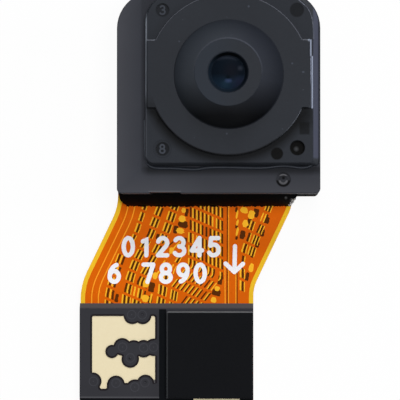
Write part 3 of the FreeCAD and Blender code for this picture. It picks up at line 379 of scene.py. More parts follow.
def paint_housing():
    """Painted shade: the plate is darker close to the block and under its front edge, and lighter
    out at its edges and corners; the notch's edge and the dimple get painted highlight and shade.
    """
    plate = housing_black
    across, up = plate.axis("X"), plate.axis("Y")
    (foot_left, foot_low), _ = BLOCK_FOOT
    away = plate.outside(*BLOCK_FOOT)
    # Painted shade: lighter away from the block and darker close beside it.
    plate.paint(plate.part_of(away, 0.1, 1.0), (66, 67, 73))
    right_of_edge = plate.part_of(across, foot_left - 0.1, foot_left)
    plate.dim(plate.under(away, 0.02, 0.3) * right_of_edge, 0.75)
    # Darker towards the lower right.
    lower_right = plate.part_of(across, -2.6, -0.9) * plate.part_of(-up, 3.9, 4.3)
    plate.dim(lower_right, 0.85)
    # Painted shade under the block's front edge.
    under_block = (plate.part_of(-up, -foot_low - 0.1, -foot_low) *
                   plate.part_of(across, foot_left - 0.05, foot_left + 0.25) *
                   plate.under(away, 0.12, 0.36))
    plate.dim(under_block, 0.5)

    # Painted highlight along the edge of the notch.
    start, stop = (place(*spot, PLATE_LEVEL) / MM for spot in NOTCH_EDGE_HIGHLIGHT)
    line = (plate.between(across, start.x - 0.02, stop.x + 0.02, 0.02) *
            plate.between(up, start.y - 0.03, start.y + 0.03, 0.02))
    plate.paint(line * 0.7, (92, 92, 96))

    # The dimple is drawn in colour: painted shade inside it and in its pit, painted highlights on
    # its lower wall and its upper rim.
    centre = mark_at(*DIMPLE, PLATE_LEVEL)
    middle = centre[1] / MM
    low_half = plate.part_of(-up, -middle, 0.05 - middle)
    plate.dim(plate.dot(centre, 0.31), 0.75)
    plate.paint(plate.hoop(centre, 0.155, 0.07) * low_half, DIMPLE_HIGHLIGHT)
    plate.paint(plate.hoop(centre, 0.25, 0.09) * low_half, DIMPLE_SHADE)
    plate.dim(plate.hoop(centre, 0.16, 0.04), 0.6)
    gleam = plate.hoop(centre, 0.21, 0.045) * plate.part_of(up, middle + 0.15, middle + 0.18)
    plate.paint(gleam, DIMPLE_HIGHLIGHT)
    plate.paint(plate.dot(mark_at(*DIMPLE_PIT, PLATE_LEVEL), 0.065), (4, 4, 6))


# Disc's rim in millimetres, and half the height of its wings.
RIM = pixels(81.3, FLANGE_LEVEL) / MM
WING_HALF = 1.45

# Dark marks of the block: place in pixels, radius in millimetres and what is left of the light.
BLOCK_MARKS = ((162.5, 9.5, 0.28, 0.58), (162.3, 148.7, 0.29, 0.42), (297, 9.9, 0.29, 0.42),
               (297.5, 147.8, 0.31, 0), (277, 153.7, 0.25, 0.05))
# Ring round the lower mark, and a painted glint in the hole at the lower right.
LOWER_MARK, VENT_GLEAM = (162.3, 148.7), (296.3, 148.6)
# Painted shade under the wings: spots in the wedge under the left wing, and a patch with a halo
# below the right one, in pixels.
WING_SHADE_WEDGE = ((152, 111), (156, 114.5), (160, 119))
WING_SHADE_PATCH = ((299, 135), (310, 122))
WING_SHADE_HALO = (305, 117)
# Lit strips beside the right wing: left, right, lower and upper limit, in millimetres.
WING_GLEAMS = ((3.42, 3.50, -1.42, 0.78), (3.36, 3.44, 0.74, 1.47))


def paint_holder():
    """Painted highlights on the block's edges and beside the right wing, painted shade under the
    wings, at the disc's foot and along the block's front and right edges, and the block's dark
    marks.
    """
    holder = holder_black
    across, up = holder.axis("X"), holder.axis("Y")
    left = place(147.0, 100, BLOCK_LEVEL).x / MM
    right = place(313.2, 100, BLOCK_LEVEL).x / MM
    foot = place(250, 163.6, BLOCK_LEVEL).y / MM
    disc_shadow = holder.under(holder.far((0, 0)), RIM + 0.12, RIM + 0.5)
    holder.dim(disc_shadow * holder.part_of(-up, 0.6, 2.0), 0.26)

    # Painted shade below the right wing and in the wedge under the left wing.
    low, high = (place(*spot, BLOCK_LEVEL) / MM for spot in WING_SHADE_PATCH)
    shade_patch = holder.between(across, low.x, high.x, 0.06) * holder.between(up, low.y, high.y, 0.06)
    holder.dim(shade_patch, 0.35)
    holder.dim(holder.dot(mark_at(*WING_SHADE_HALO, BLOCK_LEVEL), 0.42, 0.25), 0.45)
    for spot in WING_SHADE_WEDGE:
        holder.dim(holder.dot(mark_at(*spot, BLOCK_LEVEL), 0.12, 0.12), 0.45)

    # Painted highlight along the block's left edge, brighter from the wing upwards.
    edge = holder.under(across, left - 0.05, left)
    holder.paint(edge, (72, 75, 82))
    holder.paint(edge * holder.part_of(up, -1.2, -0.6), (128, 134, 144))
    # Painted highlight on the block's right slope.
    lit_right_slope = holder.part_of(across, right - 0.02, right + 0.03) * holder.part_of(up, -3.52, -3.42)
    holder.paint(lit_right_slope, (68, 71, 87))
    for start, stop, lower, upper in WING_GLEAMS:
        gleam = holder.between(across, start, stop, 0.02) * holder.between(up, lower, upper, 0.03)
        holder.paint(gleam, (142, 149, 168))
    # Painted shade along the block's front edge and along its right side.
    holder.dim(holder.under(up, foot - 0.06, foot), 0.8)
    holder.dim(holder.part_of(across, 3.69, 3.72), 0.4)

    # Dark round marks; the hole at the lower right is painted fully dark, as painted shade.
    for *spot, radius, factor in BLOCK_MARKS:
        holder.dim(holder.dot(mark_at(*spot, BLOCK_LEVEL), radius), factor)
    holder.paint(holder.hoop(mark_at(*LOWER_MARK, BLOCK_LEVEL), 0.37, 0.04), (38, 41, 47))
    holder.paint(holder.dot(mark_at(*VENT_GLEAM, BLOCK_LEVEL), 0.08, 0.05) * 0.6, (84, 86, 90))


# Radii in millimetres of the cone's foot, the nose's rim and the bore's mouth.
CONE_FOOT = pixels(55, FLANGE_LEVEL) / MM
NOSE_RIM, BORE_MOUTH = 1.39, 0.83


def paint_disc(barrel):
    """Painted highlights on the disc's rim, the lit wing ends and a wing corner, and painted
    shade on the rim's dark side.
    """
    across, up, level = barrel.axis("X"), barrel.axis("Y"), barrel.axis("Z")
    span, away = abs(up), barrel.far((0, 0))
    high = barrel.part_of(level, 3.8, 3.9)
    # The rim's painted highlight shows on the upper part and in random bits further down.
    highlight_breakup = barrel.part_of(barrel.noise(0.7, 1), 0.42, 0.56)
    shown = barrel.part_of(up, -1.0, 0.8).or_more(highlight_breakup * 0.6)
    edge = barrel.part_of(away, RIM - 0.045, RIM - 0.02)
    free = barrel.part_of(span, WING_HALF - 0.03, WING_HALF)
    barrel.paint(edge * high * shown * free, (84, 86, 94))
    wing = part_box("lens_barrel")[1].x / MM
    barrel.paint(barrel.part_of(across, wing - 0.03, wing - 0.015) * high, (132, 138, 158))
    wing_sides = barrel.part_of(away, RIM + 0.01, RIM + 0.02) * barrel.part_of(span, 1.40, 1.42)
    barrel.paint(wing_sides * high, (92, 94, 102))
    lower_right = (barrel.part_of(across, 2.0, 2.75) *
                   barrel.part_of(-up, WING_HALF, WING_HALF + 0.02))
    barrel.paint(edge * high * lower_right, (128, 132, 144))
    # Painted glint at the right wing's lower corner.
    corner = (barrel.part_of(across, wing - 0.16, wing - 0.06) *
              barrel.part_of(span, WING_HALF - 0.10, WING_HALF - 0.04))
    barrel.paint(high * corner * 0.8, (168, 178, 196))
    # Painted shade on the rim's lower left.
    lower_left = barrel.part_of(-up, 0.8, 1.6) * barrel.under(across, 1.8, 2.4)
    barrel.dim(barrel.part_of(away, RIM - 0.085, RIM - 0.055) * lower_left, 0.4)


def paint_nose(barrel):
    """Painted light and shade: the cone lighter on its upper left and dark on its lower side, a
    painted highlight on the nose's ring, and painted shade in the bore and on the disc's lower
    side wall.
    """
    across, up, level = barrel.axis("X"), barrel.axis("Y"), barrel.axis("Z")
    away = barrel.far((0, 0))
    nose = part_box("lens_barrel")[1].z / MM
    cone = (barrel.part_of(level, 3.98, 4.05) *
            barrel.under(away, CONE_FOOT - 0.02, CONE_FOOT + 0.02) *
            barrel.under(level, nose - 0.03, nose - 0.01))
    # Painted light and shade on the cone: lighter to the left, darker outwards and on its lower
    # side.
    barrel.paint(cone * barrel.part_of(across, -1.6, 1.2), (43, 46, 54))
    barrel.paint(cone * barrel.under(across, -1.8, 1.0), (58, 63, 71))
    barrel.dim(cone * barrel.part_of(away, 1.5, 2.3), 0.72)
    barrel.dim(cone * barrel.part_of(-up, 0.3, 1.75), 0.13)
    # Painted shade on the lower part of the disc's side wall.
    rim_side = barrel.part_of(away, RIM - 0.05, RIM - 0.03) * barrel.under(level, 3.925, 3.945)
    barrel.dim(rim_side * barrel.part_of(-up, 0, 0.5), 0.2)

    # Painted shade in the bore, darkest at its top and right.
    bore = barrel.under(away, BORE_MOUTH - 0.03, BORE_MOUTH)
    barrel.paint(bore, (22, 31, 41))
    barrel.dim(bore * barrel.part_of(up, 0.35, 0.7), 0.1)
    barrel.dim(bore * barrel.part_of(across, 0.2, 0.7), 0.5)
    # Painted light on the nose's top face, and a painted highlight on the ring's upper rim.
    top = barrel.part_of(level, nose - 0.03, nose - 0.01)
    barrel.paint((1 - bore) * top * barrel.under(across, -0.6, 0.8), (41, 46, 54))
    ring = barrel.part_of(away, NOSE_RIM - 0.03, NOSE_RIM)
    upper = barrel.part_of(level, nose - 0.1, nose - 0.05) * barrel.part_of(up, -0.3, 1.0)
    barrel.paint(ring * upper, (66, 69, 78))


def paint_lip():
    """The crest of the narrow bead catches the light, and so does its left run."""
    glue = seat_glue
    crest = glue.part_of(glue.axis("Z"), PLATE_LEVEL / MM + 0.045, PLATE_LEVEL / MM + 0.065)
    left = place(146, 100, PLATE_LEVEL).x / MM
    left_run = glue.under(glue.axis("X"), left - 0.02, left + 0.1)
    glue.paint(left_run, (66, 68, 75))
    glue.paint(crest, (51, 55, 63))
    glue.paint(crest * left_run, (72, 76, 84))


def paint_sealant():
    """Small glint on the bead of sealant and the pale crumbs at its slanted end."""
    seal = root_glue
    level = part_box("root_sealant")[1].z / 2
    glint = seal.dot(mark_at(286, 198, level), 0.045, 0.03)
    seal.paint(glint * 0.7, (96, 98, 100))
    end = seal.part_of(seal.axis("X"), 2.52, 2.6) * seal.part_of(-seal.axis("Y"), 5.10, 5.18)
    crumbs = seal.part_of(seal.noise(14, 1), 0.48, 0.56)
    seal.paint(end * crumbs, (168, 166, 166))


# Painted reflections in the first lens: centre, radius and soft width in millimetres, strength
# and colour.
LENS_REFLECTIONS = (((0, -0.20), 0.07, 0.07, 1, (3, 10, 15)),
              ((-0.06, -0.35), 0.045, 0.07, 0.7, (56, 70, 104)),
              ((0.01, -0.35), 0.045, 0.07, 0.7, (56, 70, 104)),
              ((0.08, -0.35), 0.045, 0.07, 0.7, (56, 70, 104)),
              ((-0.12, -0.50), 0.12, 0.12, 0.5, (34, 56, 72)),
              ((0.50, 0.17), 0.07, 0.07, 0.8, (46, 50, 60)))


def paint_lens():
    """Painted reflections: the first lens is dark, with a bluer lower half, soft pale spots and
    an arc.
    """
    glass = front_glass
    far, across, up = glass.far((0, 0)), glass.axis("X"), glass.axis("Y")
    # Painted reflections and shade in the lens: bluer towards the bottom, a darker middle and
    # rim, a pale arc above.
    glass.tint = glass.blend(glass.part_of(-up, 0.05, 0.45), linear((11, 18, 27)),
                             linear((22, 37, 52)))
    lower_right = glass.part_of(across, 0.05, 0.4) * glass.part_of(-up, 0.1, 0.35)
    glass.paint(lower_right, (27, 32, 50))
    glass.paint(glass.under(glass.far((0.15 * MM, 0.1 * MM)), 0.15, 0.45), (12, 15, 24))
    glass.paint(glass.part_of(far, 0.64, 0.84), (16, 22, 30))
    arc = glass.hoop((-0.03 * MM, -0.10 * MM), 0.70, 0.12, 0.05) * glass.part_of(up, 0.45, 0.6)
    glass.paint(arc, (38, 43, 53))
    for centre, radius, soft, strength, colour in LENS_REFLECTIONS:
        spot = glass.dot([side * MM for side in centre], radius, soft)
        glass.paint(spot * strength, colour)
    glass.paint(glass.noise(0.9, 1) * 0.15, (14, 24, 30))
    glass.set("Roughness", 0.48 + glass.noise(1.1, 1) * 0.06)


# Corner of film that lies over the gold, and the pits in the film's tabs, in pixels.
FILM_CORNER = (154.4, 382.1)
TAB_PITS = ((142.2, 314.4), (145.2, 382.2), (129.8, 358.4))


def paint_end():
    """What varies over the gold, the cushion, the end film and the die, with painted highlights
    on the edges of the cushion and the end film.
    """
    gold, pad, film = gold_plate, cushion_black, film_grey
    cloth = gold.noise(6, 2)
    gold.tint = gold.blend(cloth, linear((224, 208, 168)), linear((231, 217, 180)))
    gold.paint(gold.dot(mark_at(*FILM_CORNER, END_LEVEL), 0.105), (50, 50, 54))
    gold.set("Roughness", 0.4 + cloth * 0.15)
    gold.emboss(gold.noise(18, 1), 0.001)

    low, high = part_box("cushion_pad")
    left, top = low.x / MM, high.y / MM
    # Painted highlights on the cushion's left and upper edges.
    pad.paint(pad.under(pad.axis("X"), left + 0.05, left + 0.07), (58, 60, 63))
    pad.paint(pad.part_of(pad.axis("Y"), top - 0.06, top - 0.04), (98, 100, 102))

    foot, head = (corner.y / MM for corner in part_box("end_cover_film"))
    for pit in TAB_PITS:
        film.paint(film.dot(mark_at(*pit, END_LEVEL), 0.05), (20, 20, 24))
    # Painted highlights on the end film's head and foot.
    film.paint(film.part_of(film.axis("Y"), head - 0.24, head - 0.16), (78, 74, 76))
    film.paint(film.under(film.axis("Y"), foot + 0.05, foot + 0.09), (72, 72, 76))

    grid = silicon.noise(2, 1)
    silicon.set("Base Color", silicon.blend(grid, linear((58, 60, 74)), linear((66, 74, 84))))
    silicon.set("Roughness", 0.12 + grid * 0.06)


paint_film()
paint_housing()
paint_holder()
paint_disc(barrel_black)
paint_nose(barrel_black)
paint_lip()
paint_sealant()
paint_lens()
paint_end()

NODE_FINISHES = {
    "rear_plate": rear_steel,
    "board_rear_layer": laminate,
    "board_front_layer": laminate,
    "flex_circuit": polyimide,
    "die_attach_film": die_film,
    "image_sensor": silicon,
    "bond_wires": wire_gold,
    "capacitors": capacitor_body,
    "memory_chip": chip_black,
    "infrared_filter": filter_glass,
    "lens_holder": holder_black,
    "housing_bracket": housing_black,
    "lens_barrel": barrel_black,
    "front_lens": front_glass,
    "first_baffle": inner_black,
    "second_lens": lens_glass,
    "second_baffle": inner_black,
    "third_lens": lens_glass,
    "spacer_ring": ring_black,
    "fourth_lens": lens_glass,
    "third_baffle": inner_black,
    "rear_lens": lens_glass,
    "retaining_ring": ring_black,
    "seating_adhesive": seat_glue,
    "root_sealant": root_glue,
    "end_stiffener": stiffener_black,
    "gold_pads": gold_plate,
    "end_cover_film": film_grey,
    "cushion_pad": cushion_black,
    "connector_housing": plug_black,
    "connector_contacts": contact_gold,
    "connector_hold_downs": tinned_metal,
}

for node, finish in NODE_FINISHES.items():
    slots = nodes[node].data.materials
    slots.clear()
    slots.append(finish.material)


# Thin slabs that lie on a surface of the module

def surface_under(name):
    """Function that gives the height of a node's upper surface at a place."""
    mesh = bmesh.new()
    mesh.from_mesh(nodes[name].data)
    tree = BVHTree.FromBMesh(mesh)
    mesh.free()
    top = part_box(name)[1].z + 1 * MM

    def height(across, up):
        hit = tree.ray_cast(Vector((across, up, top)), Vector((0, 0, -1)))
        return hit[0].z if hit[0] else None
    return height


film_height = surface_under("flex_circuit")
end_height = surface_under("end_cover_film")

SINK = 0.006 * MM
SHEET = 0.006 * MM
LAYER = 0.0012 * MM


class Slabs:
    """Closed thin slabs gathered into one piece, all lying on the same surface."""

    def __init__(self, height, lift=SHEET):
        self.height = height
        self.lift = lift
        self.points = []
        self.faces = []

    def add_row(self, left, right):
        """Four corners of one cross-section, from the left edge to the right one."""
        middle = (left + right) / 2
        level = self.height(*middle)
        for side, rise in ((left, self.lift), (right, self.lift), (right, -SINK), (left, -SINK)):
            base = self.height(*side)
            self.points.append((*side, (level if base is None else base) + rise))

    def add_strip(self, left, right, closed=False):
        """One slab between two lines that have as many points as each other."""
        first = len(self.points)
        for pair in zip(left, right):
            self.add_row(*pair)
        count = len(left)
        for number in range(count if closed else count - 1):
            here = first + 4 * number
            there = first + 4 * ((number + 1) % count)
            for corner in range(4):
                following = (corner + 1) % 4
                self.faces.append((here + corner, there + corner, there + following,
                                   here + following))
        if not closed:
            last = first + 4 * (count - 1)
            self.faces.append((first, first + 1, first + 2, first + 3))
            self.faces.append((last + 3, last + 2, last + 1, last))

    def finish(self, name, finish, slot):
        make_piece(name, self.points, self.faces, finish)


def make_piece(name, points, faces, finish):
    """A closed mesh that rides on the module, with its normals turned outwards."""
    mesh = bpy.data.meshes.new(name)
    mesh.from_pydata([tuple(point) for point in points], [], faces)
    shell = bmesh.new()
    shell.from_mesh(mesh)
    bmesh.ops.recalc_face_normals(shell, faces=shell.faces)
    shell.to_mesh(mesh)
    shell.free()
    mesh.materials.append(finish.material)
    piece = bpy.data.objects.new(name, mesh)
    bpy.context.scene.collection.objects.link(piece)
    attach(piece, "root")
    return piece


def resample(line, step):
    """The same line with a point at least every step."""
    made = [line[0]]
    for start, stop in zip(line, line[1:]):
        parts = max(1, math.ceil((stop - start).length / step))
        made += [start.lerp(stop, part / parts) for part in range(1, parts + 1)]
    return made


def beside(line, offset, closed=False):
    """Line at an offset to the left of another one's direction."""
    made = []
    count = len(line)
    for number, point in enumerate(line):
        before = line[number - 1] if number or closed else point
        after = line[(number + 1) % count] if number + 1 < count or closed else point
        along = (after - before).normalized()
        made.append(point + Vector((-along.y, along.x)) * offset)
    return made


CAP_ANGLES = [math.radians(angle) for angle in (88, 66, 44, 22)]


def add_stroke(slabs, line, width, closed=False):
    """Pen stroke with round ends along a line."""
    half = width / 2
    if closed:
        slabs.add_strip(beside(line, half, True), beside(line, -half, True), True)
        return
    line = resample(line, 3 * width)
    start = (line[0] - line[1]).normalized()
    stop = (line[-1] - line[-2]).normalized()
    left, right = beside(line, half), beside(line, -half)
    for angle in reversed(CAP_ANGLES):
        for end, way, at_front in ((line[0], start, True), (line[-1], stop, False)):
            middle = end + way * half * math.sin(angle)
            turned = Vector((-way.y, way.x)) * half * math.cos(angle) * (-1 if at_front else 1)
            place_in = 0 if at_front else len(left)
            left.insert(place_in, middle + turned)
            right.insert(place_in, middle - turned)
    slabs.add_strip(left, right)


# Numbers written with a round pen, each in a cell one wide and 1.6 high

def bow(centre, radii, start, stop, parts=14):
    """Points along part of an oval, by angles in degrees."""
    angles = [math.radians(start + (stop - start) * part / parts) for part in range(parts + 1)]
    return [(centre[0] + radii[0] * math.cos(angle), centre[1] + radii[1] * math.sin(angle))
            for angle in angles]


def oval(centre, radii, parts=24):
    return bow(centre, radii, 0, 360, parts)[:-1]


DIGITS = {
    "0": [oval((0.5, 0.8), (0.45, 0.8))],
    "1": [[(0.25, 1.3), (0.6, 1.6), (0.6, 0)]],
    "2": [bow((0.5, 1.15), (0.45, 0.45), 165, -35) + [(0.05, 0)], [(0.05, 0), (0.95, 0)]],
    "3": [bow((0.45, 1.2), (0.42, 0.4), 150, -90), bow((0.45, 0.42), (0.5, 0.42), 90, -150)],
    "4": [[(0.75, 0), (0.75, 1.6)], [(0.75, 1.6), (0, 0.45)], [(0, 0.45), (1, 0.45)]],
    "5": [[(0.9, 1.6), (0.2, 1.6)], [(0.2, 1.6), (0.12, 0.9)],
          bow((0.45, 0.5), (0.5, 0.5), 128, -150)],
    "6": [oval((0.5, 0.5), (0.45, 0.5)), bow((0.95, 0.5), (0.9, 1.1), 180, 105)],
    "7": [[(0, 1.6), (0.95, 1.6)], [(0.95, 1.6), (0.4, 0)]],
    "8": [oval((0.5, 1.2), (0.4, 0.4)), oval((0.5, 0.42), (0.48, 0.42))],
    "9": [oval((0.5, 1.1), (0.45, 0.5)), bow((0.05, 1.1), (0.9, 1.1), 0, -75)],
}
CLOSED_DIGITS = {"0": (0,), "6": (0,), "8": (0, 1), "9": (0,)}
CELL_HEIGHT = 1.6


def write_number(slabs, text, corner, sizes, level):
    """Write digits from the lower left corner of the first one, with sizes in pixels."""
    spot = place(*corner, level)
    width, height, pitch, pen = (pixels(size, level) for size in sizes)
    for number, letter in enumerate(text):
        strokes = DIGITS.get(letter, [])
        for stroke, points in enumerate(strokes):
            line = [Vector((spot.x + number * pitch + x * width,
                            spot.y + y * height / CELL_HEIGHT)) for x, y in points]
            slabs.lift += LAYER
            add_stroke(slabs, line, pen, stroke in CLOSED_DIGITS.get(letter, ()))
        slabs.lift -= LAYER * len(strokes)


# Print on the film

# Digits on the film: their lower left corners, and width, height, pitch and pen in pixels.
NUMBERS = (("012345", (123.0, 255.3)), ("6 7890", (109.2, 281.8)))
NUMBER_SIZES = (10.2, 17.2, 17.2, 4.4)
print_slabs = Slabs(film_height, 2 * SHEET)
for text, corner in NUMBERS:
    write_number(print_slabs, text, corner, NUMBER_SIZES, FILM_LEVEL)
print_slabs.finish("film_numbers", white_ink, "polyimide_film")

ARROW_STARTS = ((235.0, 246.2), (225.6, 263.6), (243.0, 263.8))
ARROW_POINT = (234.5, 272.0)
ARROW_PEN = 4.3
arrow_slabs = Slabs(film_height, 2 * SHEET)
for start in ARROW_STARTS:
    arrow_slabs.lift += LAYER
    add_stroke(arrow_slabs, [place(*start, FILM_LEVEL), place(*ARROW_POINT, FILM_LEVEL)],
               pixels(ARROW_PEN))
arrow_slabs.finish("film_arrow", white_ink, "polyimide_film")


# Copper pattern of the film, as the photograph shows it

# Bare strips along the film's edges, and the two thin tracks beside the left one.
FILM_EDGE = pixels(4.4)
EDGE_TRACKS = (11.0, 17.7)
EDGE_TRACK_WIDTH = 1.1

# The dashes lie in a grid of slanted cells: its slope, spacing, phase and gaps, in pixels.
GRID_SLOPE = 0.43
GRID_SPACING = 12.9
GRID_PHASE = 149.5
GRID_GAP = 0.115

# Routes of the conductors down the film, in pixels of the photograph.
LEFT_SINGLE = ((146, 203), (137, 231), (126.5, 252))
LEFT_DOUBLE = ((125.5, 247), (119.5, 263), (113.5, 280), (110.3, 294), (109.5, 306))
LEFT_PAIR = ((162.5, 203), (149.5, 236), (136, 262), (131, 276), (127.5, 290), (126, 306))
INNER_PAIR = ((176, 203), (166.5, 231), (153, 258), (140.5, 281), (136, 306))
VIA_LINE = ((183, 236), (172, 246), (163, 258), (152, 277), (146, 306))
RIGHT_PAIR = ((270.5, 203), (264.5, 219), (258.8, 232), (254.6, 243), (249.5, 260))
RIGHT_SINGLE = ((256, 214), (248.2, 238), (244.3, 250), (242.6, 262), (242.8, 276), (242.5, 299))
FOOT_LEFT = ((165.5, 262), (163, 290), (160.5, 306.5))
FOOT_MIDDLE = ((175.6, 285.5), (172.4, 307.5))
INNER_SINGLE = ((186, 248), (179.5, 258), (172.5, 270), (169.5, 281))

# Straight columns in the middle, which turn aside and end further down from left to right.
MIDDLE_COLUMNS = 9
MIDDLE_FIRST = 190.6
MIDDLE_PITCH = 3.95
MIDDLE_TOP = 203
MIDDLE_TURNS = (264, 278)
MIDDLE_FEET = (293, 315.95)
MIDDLE_LOWEST = 310
MIDDLE_SLANT = 0.76

# Slits and the light lines beside them
SLITS = (((227.3, 206), (227.3, 306)), ((237.2, 266), (237.2, 306)))
SLIT_WIDTH = 1.0
LIGHT_LINES = (((228.6, 206), (228.6, 306)), ((236.0, 268), (236.0, 306)),
               ((224.9, 262), (225.3, 306)))

# Lands of the vias and the gaps beside them: centre, half width and half height, in pixels.
LANDS = ((182, 218.8, 3.4, 3.2), (183.5, 210.3, 2.2, 2.4), (180.1, 230.8, 3.8, 2.7),
         (155.2, 275.7, 2.6, 3.2), (146.2, 283.7, 3.1, 3.6), (145.5, 298.5, 3.7, 3.5),
         (244.2, 210.2, 3.7, 2.9), (251.5, 214.8, 3.3, 4.2), (245.3, 223.5, 2.9, 3.7),
         (251.3, 267.7, 2.3, 4.3), (217.3, 288.6, 2.7, 2.3), (213.8, 299.8, 3.1, 2.7),
         (171.5, 250.5, 2.4, 3.0), (237.0, 214.5, 1.1, 4.0), (237.4, 222.6, 1.1, 3.0),
         (237.2, 231.5, 1.1, 4.2))
GAPS = ((183, 224.2, 4.6, 3.4), (186.6, 212.5, 1.7, 3.8), (175.6, 229.6, 2.3, 3.8),
        (184.4, 243, 1.9, 5.4), (158.9, 237.0, 3.1, 2.8), (151.8, 287.1, 3.0, 4.7),
        (150.3, 299.5, 1.9, 3.9), (256.0, 213.0, 2.8, 4.2), (249.2, 223.4, 2.2, 4.6),
        (242.6, 234.8, 2.6, 4.2), (262.6, 232.8, 1.9, 3.6), (116.8, 298.0, 1.8, 4.0),
        (220.6, 279.7, 2.4, 4.7), (216.5, 292.6, 4.5, 2.9), (267.4, 220.3, 1.9, 3.2),
        (257.4, 244.4, 1.9, 3.0), (252.2, 255.2, 1.6, 2.4),
        (247.3, 276.5, 1.7, 4.0), (236.4, 209.6, 1.2, 2.4), (236.4, 226.6, 1.2, 1.7),
        (236.6, 238.0, 1.2, 1.7), (152.5, 269.5, 2.6, 3.4))

# How square gaps and lands are, how uneven their sides, and the rows that make them.
GAP_SQUARENESS, LAND_SQUARENESS = 5, 2.6
UNEVENNESS = (0.84, 1.12)
SPOT_ROWS = (-1, -0.9, -0.6, -0.2, 0.2, 0.6, 0.9, 1)
SPOT_LAYER = LAYER / 20

# Stripes across a bundle: offset to the right, width and whether it is dark.
SINGLE = ((-2.1, 1.7, False), (0, 2.3, True), (1.8, 1.0, False))
MIDDLE_STRIPES = ((-1.75, 1.45, False), (0, 1.9, True))
PAIR = ((-4.0, 1.6, False), (-2.0, 2.3, True), (0, 1.7, False), (2.1, 2.3, True),
        (3.8, 1.0, False))
DOUBLE = ((-4.5, 1.2, False), (-2.5, 2.2, True), (0, 1.8, False), (2.6, 2.3, True))
NARROW_PAIR = ((-3.2, 1.4, False), (-1.6, 1.9, True), (0, 1.4, False), (1.7, 2.0, True),
               (3.2, 1.0, False))
VIA_STRIPES = ((-3.6, 1.8, True), (3.4, 1.8, False))
DASH_ROWS = 4
KEPT_DASHES, KEPT_MIDDLE_DASHES, KEPT_VIA_DASHES = 0.94, 0.9, 0.8

# The pattern runs a little below the bead and the cover film; a shorter dash is left out.
PATTERN_TOP = 203
PATTERN_FOOT = 306
SHORTEST_DASH = 0.2

# Steps in which a dash's place settles, and in which the film's edges and lines are drawn.
SETTLING_STEPS = 12
EDGE_STEPS = 60
LINE_STEP = 0.2 * MM


def route_across(route, down):
    """Where a route lies across the photograph at a height in it."""
    downs = [point[1] for point in route]
    number = min(max(bisect.bisect(downs, down), 1), len(route) - 1)
    (x0, y0), (x1, y1) = route[number - 1], route[number]
    return x0 + (x1 - x0) * (down - y0) / (y1 - y0)


def cell_line(route, offset, cell, share):
    """Point of a route that lies at a share of the way through a cell of the grid."""
    target = GRID_PHASE + (cell + share) * GRID_SPACING
    down = (route[0][1] + route[-1][1]) / 2
    for _ in range(SETTLING_STEPS):
        down = target + GRID_SLOPE * (route_across(route, down) + offset)
    return route_across(route, down) + offset, down


def film_point(across, down):
    return place(across, down, FILM_LEVEL)


def share_of_cell(route, offset, cell, down):
    """How far through a cell of the grid a route is at a height in the photograph."""
    across = route_across(route, down) + offset
    return (down - GRID_SLOPE * across - GRID_PHASE) / GRID_SPACING - cell


def add_dash(slabs, route, offset, width, cell):
    """One window of a stripe: a cell's length, cut along the grid, or at the film's ends."""
    sides = []
    for edge in (offset - width / 2, offset + width / 2):
        start, stop = GRID_GAP, 1 - GRID_GAP
        if route[0][1] <= PATTERN_TOP:
            start = max(start, share_of_cell(route, edge, cell, PATTERN_TOP))
        if route[-1][1] >= PATTERN_FOOT:
            stop = min(stop, share_of_cell(route, edge, cell, PATTERN_FOOT))
        if stop - start < SHORTEST_DASH:
            return
        shares = [start + (stop - start) * row / (DASH_ROWS - 1) for row in range(DASH_ROWS)]
        sides.append([cell_line(route, edge, cell, share) for share in shares])
    downs = [point[1] for side in sides for point in side]
    if min(downs) < route[0][1] - 0.1 or max(downs) > route[-1][1] + 0.1:
        return
    slabs.add_strip(*([film_point(*point) for point in side] for side in sides))


def cells_of(route):
    """Numbers of the cells that a route runs through."""
    ends = [(down - GRID_SLOPE * across - GRID_PHASE) / GRID_SPACING
            for across, down in (route[0], route[-1])]
    return range(math.floor(ends[0]) - 1, math.ceil(ends[1]) + 1)


def add_bundle(yellow, dark, route, stripes, chance, keep=KEPT_DASHES):
    """Dashes of every stripe down a route, but for a few that the etching left out."""
    for cell in cells_of(route):
        for offset, width, is_dark in stripes:
            if chance.random() < keep:
                add_dash(dark if is_dark else yellow, route, offset, width, cell)


def add_spot(slabs, spot, squareness, chance):
    """Rounded or nearly four-cornered spot with uneven sides, leaning along the grid."""
    across, down, half_width, half_height = spot
    sides = ([], [])
    for share in SPOT_ROWS:
        half = half_width * max(0.12, (1 - abs(share) ** squareness)) ** (1 / squareness)
        middle = across - share * half_height * 0.2
        for way, side in zip((-1, 1), sides):
            half *= chance.uniform(*UNEVENNESS)
            row = down + share * half_height + GRID_SLOPE * way * half * 0.6
            side.append(film_point(middle + way * half, row))
    slabs.add_strip(*sides)


def film_edges():
    """Left and right edge of the film's slanted stretch, from its own mesh, top to bottom."""
    mesh = nodes["flex_circuit"].data
    top, foot = 0.03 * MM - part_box("root_sealant")[1].y, -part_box("end_stiffener")[1].y
    rows = []
    for step in range(EDGE_STEPS + 1):
        up = -(top + (foot - top) * step / EDGE_STEPS)
        crossed = []
        for edge in mesh.edges:
            first, second = (mesh.vertices[number].co for number in edge.vertices)
            low, high = sorted((first, second), key=lambda point: point.y)
            if low.y <= up < high.y:
                share = (up - low.y) / (high.y - low.y)
                crossed.append(low.x + (high.x - low.x) * share)
        rows.append((min(crossed), max(crossed), up))
    return ([Vector((left, up)) for left, _, up in rows],
            [Vector((right, up)) for _, right, up in rows])


def add_edge_strips(bare, tracks):
    left, right = film_edges()
    skin = 0.004 * MM
    bare.add_strip(beside(left, skin), beside(left, FILM_EDGE))
    bare.add_strip(beside(right, -FILM_EDGE), beside(right, -skin))
    for track in EDGE_TRACKS:
        half = pixels(EDGE_TRACK_WIDTH) / 2
        middle = pixels(track)
        tracks.add_strip(beside(left, middle - half), beside(left, middle + half))


